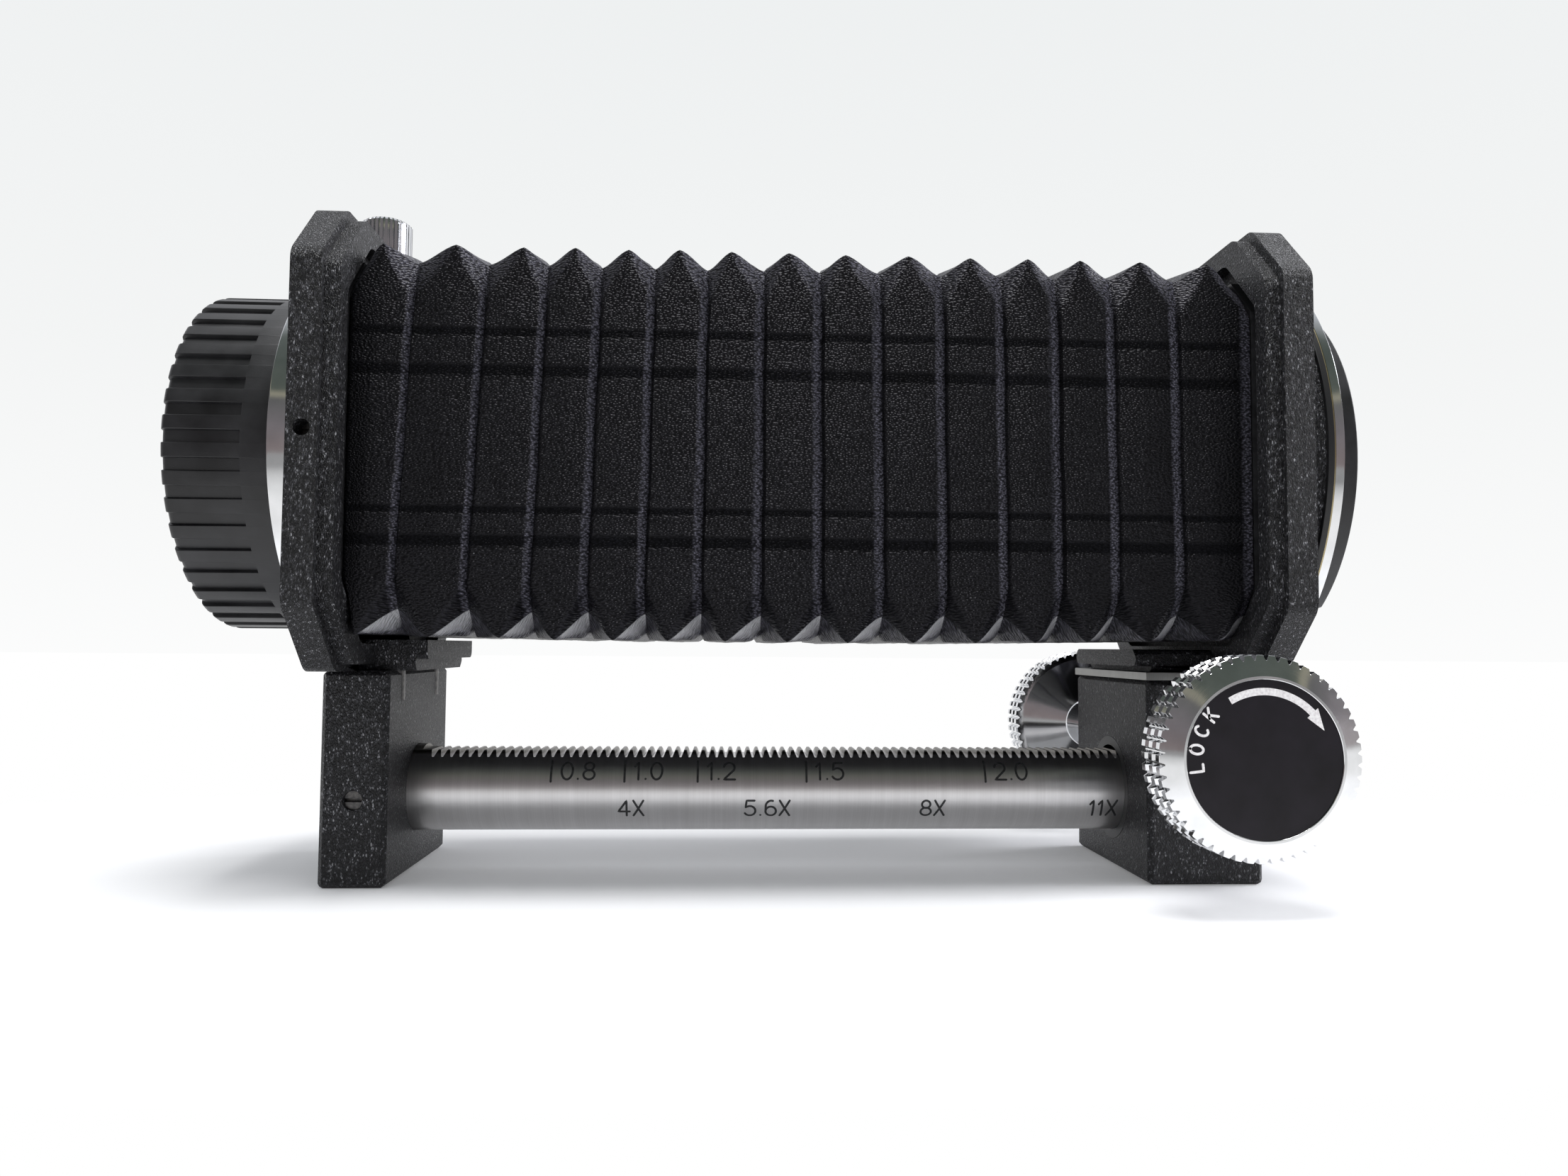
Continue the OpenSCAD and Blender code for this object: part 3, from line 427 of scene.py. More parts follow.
glyphs = {
    "0": (0.62, [bow(0.31, 0.5, 0.31, 0.5, 90, 450, 28)]),
    "1": (0.30, [[(0.0, 0.76), (0.2, 1.0), (0.2, 0.0)]]),
    "2": (0.62, [bow(0.3, 0.7, 0.3, 0.3, 170, -35) + [(0.0, 0.0), (0.62, 0.0)]]),
    "4": (0.66, [[(0.48, 0.0), (0.48, 1.0), (0.0, 0.3), (0.66, 0.3)]]),
    "5": (0.62, [[(0.56, 1.0), (0.1, 1.0), (0.04, 0.56)] + bow(0.29, 0.33, 0.33, 0.33, 118, -150, 18)]),
    "6": (0.62, [bow(0.34, 0.62, 0.34, 0.38, 75, 165, 8) + bow(0.31, 0.31, 0.31, 0.31, 170, 530, 24)]),
    "8": (0.62, [bow(0.31, 0.76, 0.25, 0.24, -90, 270, 20), bow(0.31, 0.27, 0.31, 0.27, 90, 450, 24)]),
    ".": (0.16, [[(0.08, 0.03), (0.081, 0.03)]]),
    "X": (0.62, [[(0.0, 0.0), (0.58, 1.0)], [(0.0, 1.0), (0.58, 0.0)]]),
    "L": (0.5, [[(0.0, 1.0), (0.0, 0.0), (0.5, 0.0)]]),
    "O": (0.66, [bow(0.33, 0.5, 0.33, 0.5, 90, 450, 28)]),
    "C": (0.6, [bow(0.33, 0.5, 0.33, 0.5, 50, 310, 22)]),
    "K": (0.56, [[(0.0, 0.0), (0.0, 1.0)], [(0.54, 1.0), (0.0, 0.42)], [(0.18, 0.6), (0.56, 0.0)]]),
}


def strokes(text, height, gap=0.22):
    """The text's strokes in millimetres, with its left end and foot at zero, and its length."""
    found, x = [], 0.0
    for sign in text:
        wide, lines = glyphs[sign]
        found += [[((x + a) * height, b * height) for a, b in line] for line in lines]
        x += wide + gap
    return found, (x - gap) * height


def finely(line, step=0.2):
    """The line with points no further apart than the step."""
    points = [line[0]]
    for a, b in zip(line, line[1:]):
        count = max(1, math.ceil(math.dist(a, b) / step))
        points += [(a[0] + (b[0] - a[0]) * i / count, a[1] + (b[1] - a[1]) * i / count)
                   for i in range(1, count + 1)]
    return np.array(points)


def round_end(at, way, side, half_w, turn):
    """Points round the end of a stroke, from one side to the other."""
    return [at + side * math.cos(a) + way * half_w * math.sin(a) for a in turn]


def inlay(lines, width, wrap, depth, round_ends=True):
    """Thin closed strips along the lines; wrap lays a flat point (s, t, up) on the surface."""
    work = bmesh.new()
    for line in lines:
        points = finely(line)
        forward = np.gradient(points, axis=0)
        forward /= np.linalg.norm(forward, axis=1)[:, None]
        aside = np.stack([-forward[:, 1], forward[:, 0]], 1) * width / 2
        turn = np.radians(np.arange(15, 180, 15)) if round_ends else np.zeros(0)
        rim = (list(points + aside) + round_end(points[-1], forward[-1], aside[-1], width / 2, turn)
               + list((points - aside)[::-1]) + round_end(points[0], -forward[0], -aside[0], width / 2, turn))
        half = len(points)
        left, right = range(half), range(2 * half + len(turn) - 1, half + len(turn) - 1, -1)
        upper = [work.verts.new(wrap(s, t, depth)) for s, t in rim]
        lower = [work.verts.new(wrap(s, t, -depth)) for s, t in rim]
        for ring, turned in ((upper, 1), (lower, -1)):
            for i in range(half - 1):
                work.faces.new([ring[k] for k in (left[i], right[i], right[i + 1], left[i + 1])][::turned])
            if round_ends:
                work.faces.new([ring[k] for k in range(right[half - 1], left[half - 1] - 1, -1)][::turned])
                start = list(range(right[0], len(rim))) + [0]
                work.faces.new([ring[k] for k in start[::-1]][::turned])
        for i in range(len(rim)):
            j = (i + 1) % len(rim)
            work.faces.new([upper[i], upper[j], lower[j], lower[i]])
    bmesh.ops.recalc_face_normals(work, faces=work.faces)
    mesh = bpy.data.meshes.new("inlay")
    work.to_mesh(mesh)
    work.free()
    return mesh


def on_rail(s, t, up):
    """A point s along the rail and t round it from the middle of its near side, in millimetres."""
    radius = rail_radius + up * mm
    angle = t * mm / rail_radius
    return (s * mm, -radius * math.cos(angle), rail_axis_z + radius * math.sin(angle))


def up_round_rail(degrees):
    """How far up round the rail an angle is from the middle of its near side, in millimetres."""
    return math.radians(degrees) * rail_radius / mm


def scale_lines():
    """The strokes of both rows: a tick and its figure above, a figure centred on its place below."""
    lines = []
    for x, text in upper_marks:
        middle = up_round_rail(upper_row)
        lines.append([(x, middle - tick_h / 2), (x, middle), (x, middle + tick_h / 2)])
        figures, _ = strokes(text, figure_h)
        lines += [[(x + figure_gap + a, middle - figure_h / 2 + b) for a, b in line] for line in figures]
    for x, text in lower_marks:
        figures, long = strokes(text, lower_figure_h)
        foot = up_round_rail(lower_row) - lower_figure_h / 2
        lines += [[(x - long / 2 + a, foot + b) for a, b in line] for line in figures]
    return lines


def filled_black():
    """Black wax paint rubbed into the cuts."""
    material, tree, shader, place = new_finish("black filling", Roughness=0.55)
    wear_and_painted_light = ramp(tree, noise(tree, place, 2500.0, 4.0), (0.35, (0.006, 0.006, 0.007)),
                (0.8, (0.03, 0.03, 0.032)))
    tree.links.new(wear_and_painted_light, shader.inputs["Base Color"])
    return material


new_piece("rail_scale", inlay(scale_lines(), line_w, on_rail, inlay_depth), filled_black(), "rear_frame",
          "rail_steel")

# ---- Screws and sleeves
# Slotted machine screws of blackened steel, and the two sleeves that run on the rail.


def plain_finish(name, dark, light, grain, **settings):
    """A finish with fine mottling between two tones and a little bump."""
    material, tree, shader, place = new_finish(name, **settings)
    spots = noise(tree, place, grain, 4.0)
    tree.links.new(ramp(tree, spots, (0.3, dark), (0.7, light)), shader.inputs["Base Color"])
    raise_surface(tree, shader, noise(tree, place, grain * 3, 2.0), 0.008 * mm, 0.5)
    roughness = shader.inputs["Roughness"]
    middle = roughness.default_value
    tree.links.new(rescaled(tree, spots, 0, 1, middle - 0.08, middle + 0.1), roughness)
    return material


def refinish(material, *nodes):
    """Gives CAD nodes whose shape is right their finish."""
    for node in nodes:
        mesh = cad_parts[node].data
        mesh.materials.clear()
        mesh.materials.append(material)


refinish(plain_finish("blackened steel", (0.05, 0.05, 0.052), (0.16, 0.155, 0.15), 1800.0,
                      Metallic=1.0, Roughness=0.38),
         "rear_shelf_screws", "front_shelf_screws", "rear_frame_screws", "front_frame_screws",
         "ring_grub_screws", "lens_ring_screws", "focus_knob_grub", "rail_set_screw")
refinish(plain_finish("sleeve black", (0.018, 0.018, 0.018), (0.04, 0.04, 0.04), 900.0, Roughness=0.5),
         "rail_sleeves")

# ---- Shaft, bearings, stud and pad
# Inside the block: the steel pinion and its shaft, two bronze bearings, and the clamp's
# steel stud with its soft bronze pad.
refinish(plain_finish("turned steel", (0.42, 0.42, 0.42), (0.6, 0.6, 0.6), 1200.0,
                      Metallic=1.0, Roughness=0.25),
         "pinion_shaft", "clamp_stud")
refinish(plain_finish("turned bronze", (0.46, 0.33, 0.15), (0.66, 0.50, 0.26), 1200.0,
                      Metallic=1.0, Roughness=0.3),
         "focus_bearing", "clamp_bearing", "clamp_pad")

# ---- Camera ring and lens ring
# Turned brass rings, polished and chromed. The camera's turns in the rear standard, and the
# lens's is screwed on the front one.
ring_edge = 0.22 * mm
polished_from_x = 121.1 * mm


def chromed(name, axis_point, axis):
    """Chrome over fine turning rings about an axis."""
    material, tree, shader, place = new_finish(name, Metallic=1.0)
    from_axis = vector_node(tree, "SUBTRACT", place, axis_point)[0]
    along = vector_node(tree, "DOT_PRODUCT", from_axis, axis)["Value"]
    on_axis = wire(tree, "ShaderNodeVectorMath", {0: axis, "Scale": along}, operation="SCALE").outputs[0]
    radius = vector_node(tree, "LENGTH", vector_node(tree, "SUBTRACT", from_axis, on_axis)[0])["Value"]
    rings_at = wire(tree, "ShaderNodeCombineXYZ", {0: radius, 1: along}).outputs[0]
    rings = noise(tree, rings_at, 16000.0, 2.0)
    smears = noise(tree, place, 260.0, 5.0)
    raise_surface(tree, shader, rings, 0.004 * mm, 0.6)
    colour = ramp(tree, smears, (0.3, (0.70, 0.71, 0.72)), (0.7, (0.84, 0.845, 0.86)))
    tree.links.new(colour, shader.inputs["Base Color"])
    tree.links.new(rescaled(tree, smears, 0, 1, 0.04, 0.17), shader.inputs["Roughness"])
    return material


def blackened_behind(material, x):
    """Adds black paint behind a place on the X axis, with a thin brassy line where it ends."""
    tree = material.node_tree
    shader = tree.nodes["Principled BSDF"]
    along = axis_parts(tree, wire(tree, "ShaderNodeTexCoord").outputs["Object"])["X"]
    behind = math_node(tree, "LESS_THAN", along, x)
    off_line = math_node(tree, "ABSOLUTE", math_node(tree, "SUBTRACT", along, x))
    line = math_node(tree, "LESS_THAN", off_line, 0.09 * mm)
    polish = shader.inputs["Base Color"].links[0].from_socket
    painted = blend_colours(tree, behind, polish, (0.012, 0.012, 0.013, 1))
    tree.links.new(blend_colours(tree, line, painted, (0.42, 0.36, 0.22, 1)), shader.inputs["Base Color"])
    paint_alone = math_node(tree, "SUBTRACT", behind, line)
    tree.links.new(math_node(tree, "SUBTRACT", 1.0, paint_alone), shader.inputs["Metallic"])
    smooth = shader.inputs["Roughness"].links[0].from_socket
    tree.links.new(math_node(tree, "MULTIPLY_ADD", behind, 0.32, smooth), shader.inputs["Roughness"])
    return material


ring_chrome = chromed("ring chrome", (0, 0, optical_z), (1, 0, 0))
lens_chrome = blackened_behind(chromed("lens ring chrome", (0, 0, optical_z), (1, 0, 0)), polished_from_x)
new_piece("camera_ring_turned", eased("camera_ring", ring_edge), ring_chrome, "camera_ring", "chrome",
          "camera_ring")
new_piece("lens_ring_turned", eased("lens_ring", ring_edge), lens_chrome, "carriage", "chrome", "lens_ring")

# ---- Rear cap
# A moulded plastic cup screwed over the camera thread, with ribs for the fingers that run out
# on its rim and stop short of a smooth band at its mouth.
cap_low, cap_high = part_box("rear_cap")
cap_long = (cap_high.x - cap_low.x) / mm
cap_r = (cap_high.y - cap_low.y) / 2 / mm
cap_band = 4.0
cap_groove = 0.5
cap_bore_r = 21.05
cap_wall = 1.5
cap_ribs = 42
seam = 0.0005 * mm


def round_copies():
    """Copies of one slice round the Z axis, turned and moved to their place and joined."""
    tree = bpy.data.node_groups.new("slices round an axis", "GeometryNodeTree")
    for name, kind in (("Slice", "Geometry"), ("Copies", "Int"), ("Axis turn", "Vector"),
                       ("Place", "Vector"), ("Seam", "Float"), ("Finish", "Material")):
        tree.interface.new_socket(name, in_out="INPUT", socket_type="NodeSocket" + kind)
    tree.interface.new_socket("Slices", in_out="OUTPUT", socket_type="NodeSocketGeometry")
    given = wire(tree, "NodeGroupInput").outputs
    step = math_node(tree, "DIVIDE", 2 * math.pi, given["Copies"])
    index = wire(tree, "GeometryNodeInputIndex").outputs[0]
    angle = math_node(tree, "MULTIPLY", step, index)
    line = wire(tree, "GeometryNodeMeshLine", {"Count": given["Copies"], "Offset": (0, 0, 0)}).outputs[0]
    turn = wire(tree, "FunctionNodeAxisAngleToRotation", {"Axis": (0, 0, 1), "Angle": angle}).outputs[0]
    ring = wire(tree, "GeometryNodeInstanceOnPoints",
                {"Points": line, "Instance": given["Slice"], "Rotation": turn}).outputs[0]
    lay = wire(tree, "FunctionNodeEulerToRotation", {0: given["Axis turn"]}).outputs[0]
    laid = wire(tree, "GeometryNodeTransform",
                {"Geometry": ring, "Translation": given["Place"], "Rotation": lay}).outputs[0]
    whole = wire(tree, "GeometryNodeRealizeInstances", {"Geometry": laid}).outputs[0]
    closed = wire(tree, "GeometryNodeMergeByDistance",
                  {"Geometry": whole, "Distance": given["Seam"]}).outputs[0]
    done = wire(tree, "GeometryNodeSetMaterial",
                {"Geometry": closed, "Material": given["Finish"]}).outputs[0]
    wire(tree, "NodeGroupOutput", {0: done})
    return tree


slices_round_axis = round_copies()


def made_of_slices(name, columns, copies, axis_turn, place, material, angle):
    """A turned piece with teeth or ribs. A column is a share of the pitch and its (radius, height) points."""
    pitch = 2 * math.pi / copies
    columns = columns + [(columns[0][0] + 1, columns[0][1])]
    rows = len(columns[0][1])
    verts = [(r * mm * math.cos(share * pitch), r * mm * math.sin(share * pitch), h * mm)
             for share, profile in columns for r, h in profile]
    faces = [(c * rows + k, c * rows + k + 1, (c + 1) * rows + k + 1, (c + 1) * rows + k)
             for c in range(len(columns) - 1) for k in range(rows - 1)]
    slice_mesh = bpy.data.meshes.new(name)
    slice_mesh.from_pydata(verts, [], [face[::-1] for face in faces])
    carrier = bpy.data.objects.new("carrier", slice_mesh)
    bpy.context.scene.collection.objects.link(carrier)
    copier = carrier.modifiers.new("copies", "NODES")
    values = {"Copies": copies, "Axis turn": axis_turn, "Place": place, "Seam": seam, "Finish": material}
    copier.node_group = slices_round_axis
    for socket in slices_round_axis.interface.items_tree:
        if socket.in_out == "INPUT" and socket.name in values:
            copier[socket.identifier] = values[socket.name]
    bpy.context.view_layer.update()
    mesh = bpy.data.meshes.new_from_object(carrier.evaluated_get(bpy.context.evaluated_depsgraph_get()))
    bpy.data.objects.remove(carrier)
    work = bmesh.new()
    work.from_mesh(mesh)
    bmesh.ops.remove_doubles(work, verts=work.verts, dist=seam)
    bmesh.ops.dissolve_degenerate(work, dist=0.0002 * mm, edges=work.edges)
    bmesh.ops.recalc_face_normals(work, faces=work.faces)
    work.to_mesh(mesh)
    work.free()
    mesh.name = name
    return shade(mesh, angle)


def cap_profile(radius):
    """From the pole of the end face, out over the rim, along a rib or groove and back inside the cup."""
    face = [(0, cap_long - 0.4), (18.6, cap_long - 0.4), (18.9, cap_long - 0.3), (19.2, cap_long),
            (20.5, cap_long)]
    edge = [(radius - 0.8 + 0.8 * math.sin(a), cap_long - 0.8 + 0.8 * math.cos(a))
            for a in np.linspace(0, math.pi / 2, 5)]
    band = [(radius, cap_band + 0.12), (min(radius + 0.12, cap_r), cap_band), (cap_r, cap_band),
            (cap_r, 0.35), (cap_r - 0.1, 0.1), (cap_r - 0.35, 0)]
    inside = [(cap_bore_r + 0.35, 0), (cap_bore_r, 0.35), (cap_bore_r, cap_long - cap_wall),
              (0, cap_long - cap_wall)]
    return face + edge + band + inside


def moulded_plastic(name, grain):
    """Satin black plastic with a fine sparked grain and faint scuffs."""
    material, tree, shader, place = new_finish(name, Roughness=0.42)
    pits = noise(tree, place, grain, 2.0)
    scuffs = noise(tree, place, 220.0, 5.0)
    raise_surface(tree, shader, pits, 0.012 * mm, 0.6)
    tree.links.new(ramp(tree, scuffs, (0.35, (0.008, 0.008, 0.009)), (0.75, (0.022, 0.022, 0.024))),
                   shader.inputs["Base Color"])
    tree.links.new(rescaled(tree, scuffs, 0, 1, 0.30, 0.5), shader.inputs["Roughness"])
    return material


cap_plastic = moulded_plastic("moulded plastic", 5200.0)
rib_sinks = ((-0.285, cap_groove), (-0.26, 0.06), (-0.24, 0), (0.0, 0), (0.24, 0), (0.26, 0.06),
             (0.285, cap_groove), (0.5, cap_groove))
cap_columns = [(share, cap_profile(cap_r - sink)) for share, sink in rib_sinks]
cap_mesh = made_of_slices("ribbed_rear_cap", cap_columns, cap_ribs, (0, -math.pi / 2, 0),
                          (cap_high.x, 0, optical_z), cap_plastic, 32)
new_piece("ribbed_rear_cap", cap_mesh, cap_plastic, "rear_cap", "cap_plastic", "rear_cap")

# ---- Body cap
# The plastic cap screwed in the lens ring, with a flat cut at its top and bottom.
body_cap_edge = 0.3 * mm
new_piece("moulded_body_cap", eased("body_cap", body_cap_edge), cap_plastic, "body_cap", "cap_plastic",
          "body_cap")

# ---- Lock screw
# A chromed thumb screw with a knurled head on top of the rear standard.
lock_low, lock_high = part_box("lock_screw")
head_h = 5.4
head_groove = 0.4
head_ribs = 34
head_r = (lock_high.y - lock_low.y) / 2 / mm
lock_x = (lock_low.x + lock_high.x) / 2
stem_end = (lock_low.z - lock_high.z) / mm + head_h


def lock_profile(radius):
    """From the dog point up the stem, over the head's underside and rim to its top."""
    return [(0, stem_end), (0.6, stem_end), (0.6, stem_end + 0.7), (1.3, stem_end + 0.8), (1.3, -0.1),
            (1.4, 0), (3.0, 0), (radius, 0.4), (radius, head_h - 0.45), (3.0, head_h - 0.02), (2.7, head_h),
            (2.3, head_h - 0.12), (0, head_h - 0.12)]


lock_columns = [(share, lock_profile(head_r - sink))
                for share, sink in ((-0.38, head_groove), (-0.26, 0), (0.26, 0), (0.38, head_groove))]
lock_chrome = chromed("lock screw chrome", (lock_x, 0, 0), (0, 0, 1))
lock_mesh = made_of_slices("thumb_screw", lock_columns, head_ribs, (0, 0, 0),
                           (lock_x, 0, lock_high.z - head_h * mm), lock_chrome, 24)
new_piece("thumb_screw", lock_mesh, lock_chrome, "lock", "chrome", "lock_screw")

# ---- Knobs
# Turned and chromed knobs. Three rows of knurling are cut round the rim, the back is a cone
# down to the hub, and the front a polished bevel round a recess for the disc.
knob_low, knob_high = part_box("focus_knob")
knob_x = (knob_low.x + knob_high.x) / 2
knob_z = (knob_low.z + knob_high.z) / 2
knob_r = (knob_high.x - knob_low.x) / 2 / mm
knob_face = knob_high.y / mm
knob_hub = knob_low.y / mm
tooth_depth = 0.6
knurl_teeth = 52
knurl_rows = 3
row_w = 1.5
row_gap = 0.7
row_ease = 0.22
bevel_slope = 0.47
lip_r = 9.55
recess_r = 9.2
recess_depth = 0.8
hub_r = 4.0
cone_h = 2.4
knurl_back = 28.35


def knob_profile(share):
    """The knob's section through a tooth (share 1) or between two teeth (share 0), from hub to recess."""
    root = knob_r - tooth_depth
    radius = root + share * tooth_depth
    cone_rim = root - tooth_depth
    points = [(0, knob_hub), (hub_r - 0.25, knob_hub), (hub_r, knob_hub + 0.25),
              (hub_r, knurl_back - cone_h - 0.15), (hub_r + 0.1, knurl_back - cone_h),
              (cone_rim - 0.1, knurl_back - 0.04), (cone_rim, knurl_back),
              (radius - row_ease * share, knurl_back)]
    bevel_end = knob_face - (radius - lip_r) * bevel_slope
    start = knurl_back
    for row in range(knurl_rows):
        last = row == knurl_rows - 1
        end = bevel_end if last else start + row_w
        points += [(radius, start + row_ease), (radius, (start + end) / 2),
                   (radius, end - (0.02 if last else row_ease))]
        if not last:
            points += [(root + 0.02, end + row_gap / 2)]
        start = end + row_gap
    recess = knob_face - recess_depth
    points += [(radius - 0.03, bevel_end + 0.014), (lip_r + 0.8, knob_face - 0.8 * bevel_slope),
               (lip_r + 0.1, knob_face - 0.05), (lip_r, knob_face), (recess_r + 0.06, knob_face),
               (recess_r, knob_face - 0.06), (recess_r, recess), (0, recess)]
    return points


knob_columns = [(share, knob_profile(tooth))
                for share, tooth in ((-0.45, 0), (-0.25, 1), (0.0, 1), (0.25, 1), (0.45, 0))]
for name, node, body, side in (("focusing_knob", "focus_knob", "focus_drive", 1),
                               ("clamping_knob", "clamp_knob", "clamp", -1)):
    knob_chrome = chromed(name + "_chrome", (knob_x, 0, knob_z), (0, 1, 0))
    mesh = made_of_slices(name, knob_columns, knurl_teeth, (-side * math.pi / 2, 0, 0),
                          (knob_x, 0, knob_z), knob_chrome, 22)
    new_piece(name, mesh, knob_chrome, body, "chrome", node)

# ---- Discs
# Black anodised discs pressed into the knobs' recesses. The clamp's has an arrow and a plain
# word in white paint to show which way locks.
disc_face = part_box("clamp_knob_disc")[0].y


def disc_black():
    """Smooth anodised black with a faint plum cast."""
    material, tree, shader, place = new_finish("disc black", Roughness=0.34)
    shader.inputs["Specular IOR Level"].default_value = 0.25
    cloud = noise(tree, place, 300.0, 4.0)
    colour = ramp(tree, cloud, (0.3, (0.007, 0.006, 0.008)), (0.7, (0.012, 0.010, 0.014)))
    tree.links.new(colour, shader.inputs["Base Color"])
    raise_surface(tree, shader, noise(tree, place, 7000.0, 2.0), 0.006 * mm, 0.5)
    return material


refinish(disc_black(), "focus_knob_disc", "clamp_knob_disc")
arrow_r = 7.8
arrow_w = 0.85
arrow_from, arrow_to = 121.0, 42.0
head_long, head_wide = 2.2, 1.7
word = "LOCK"
word_r = 7.3
word_h = 1.55
word_line_w = 0.3
word_from, word_to = 187.0, 141.0


def on_disc(s, t, up):
    """A point on the clamp's disc, in millimetres right of and above its centre."""
    return (knob_x + s * mm, disc_face - up * mm, knob_z + t * mm)


def word_lines():
    """The word's strokes, bent round the disc with their feet to its middle."""
    lines = []
    for i, sign in enumerate(word):
        angle = math.radians(word_from + (word_to - word_from) * i / (len(word) - 1))
        out = np.array((math.cos(angle), math.sin(angle)))
        on = np.array((math.sin(angle), -math.cos(angle)))
        wide, shapes = glyphs[sign]
        for line in shapes:
            lines.append([tuple(out * (word_r + b * word_h) + on * (a - wide / 2) * word_h)
                          for a, b in line])
    return lines


def arrow_head():
    """A flat triangle at the arc's end, pointing round the disc."""
    angle = math.radians(arrow_to)
    out = np.array((math.cos(angle), math.sin(angle)))
    on = np.array((math.sin(angle), -math.cos(angle)))
    at = out * arrow_r
    flat = [at + out * head_wide / 2 - on * 0.2, at + on * head_long - out * 0.35,
            at - out * head_wide / 2 - on * 0.2]
    verts = [on_disc(s, t, up) for up in (0.016, -0.012) for s, t in flat]
    mesh = bpy.data.meshes.new("arrow head")
    mesh.from_pydata(verts, [], [(0, 2, 1), (3, 4, 5), (0, 1, 4, 3), (1, 2, 5, 4), (2, 0, 3, 5)])
    return mesh


def joined(name, *meshes):
    """One mesh of several, with all its faces outward."""
    work = bmesh.new()
    for mesh in meshes:
        work.from_mesh(mesh)
    bmesh.ops.recalc_face_normals(work, faces=work.faces)
    mesh = bpy.data.meshes.new(name)
    work.to_mesh(mesh)
    work.free()
    return mesh


def white_paint():
    """White paint, a little worn."""
    material, tree, shader, place = new_finish("white paint", Roughness=0.5)
    wear_and_painted_light = ramp(tree, noise(tree, place, 3000.0, 4.0), (0.3, (0.62, 0.58, 0.58)), (0.6, (0.84, 0.82, 0.81)))
    tree.links.new(wear_and_painted_light, shader.inputs["Base Color"])
    return material


arc = bow(0, 0, arrow_r, arrow_r, arrow_from, arrow_to, 40)
artwork = joined("clamp_disc_marks", inlay(word_lines(), word_line_w, on_disc, inlay_depth),
                 inlay([arc], arrow_w, on_disc, inlay_depth, round_ends=False), arrow_head())
new_piece("clamp_disc_marks", artwork, white_paint(), "clamp", "disc_black")

# ---- Bellows
# A folded tunnel of grained black leathercloth over card stiffeners, glued at each end to
# a plate. Each fold is one flat panel on every side, which comes to a point at the corners.
cloth_low, cloth_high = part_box("bellows")
first_fold = 4.9
fold_gaps = (8.8, 8.2, 6.3, 6.6, 6.2, 6.5, 7.1, 7.1, 7.9, 7.8, 7.4, 6.6, 7.8, 8.7)
end_half = 23.9
swell = 0.3
sag = 0.3
fold_depth = 0.95
rear_wall_w, front_wall_w = 0.4, 0.7
panel_dip = 0.14
corner_depths = (3.3, 1.8, 1.8, 3.3)
end_corner_depths = (3.2, 3.2, 3.2, 3.2)
end_dip = 0.45
# Painted sheen at the two corners of each side (near, top, far, bottom): full at the upper corners and along
# the top, faint at the lower ones. Above 1 on the bottom, where a painted grey reflection of the table goes.
corner_sheen = ((0.12, 1.0), (1.0, 1.0), (1.0, 0.12), (1.7, 1.7))
side_ways = (((0, 1), (-1, 0)), ((1, 0), (0, 1)), ((0, -1), (1, 0)), ((-1, 0), (0, -1)))
arch_h = 6.6
arch_power = 0.8
edge_round = 0.25
cloth_t = 0.8
press_lines = ((69.3, 0.6), (64.5, 0.8), (47.4, 0.5), (43.6, 0.8))
fold_steps = (0.0, 0.1, 0.25, 0.42, 0.58, 0.7, 0.79, 0.86, 0.92, 0.965, 1.0)
arch_steps = (0.0, 0.12, 0.28, 0.46, 0.66, 0.84, 1.0)
panel_steps = (0.07, 0.18, 0.32, 0.48, 0.65, 0.82, 1.0)


def smooth_step(q):
    """An S-shaped rise from 0 to 1."""
    q = np.clip(q, 0, 1)
    return q * q * (3 - 2 * q)


def fold_places():
    """(end of the left slope, ridge, end of the right slope) of each fold along X."""
    ridges = [first_fold]
    for gap in fold_gaps:
        ridges.append(ridges[-1] + gap)
    valleys = [cloth_low.x / mm]
    for i, gap in enumerate(fold_gaps):
        valleys.append(ridges[i] + gap / 2 - 0.5 + 0.17 * min(i, 6))
    valleys.append(cloth_high.x / mm)
    return [(valleys[i], ridges[i], valleys[i + 1]) for i in range(len(ridges))]


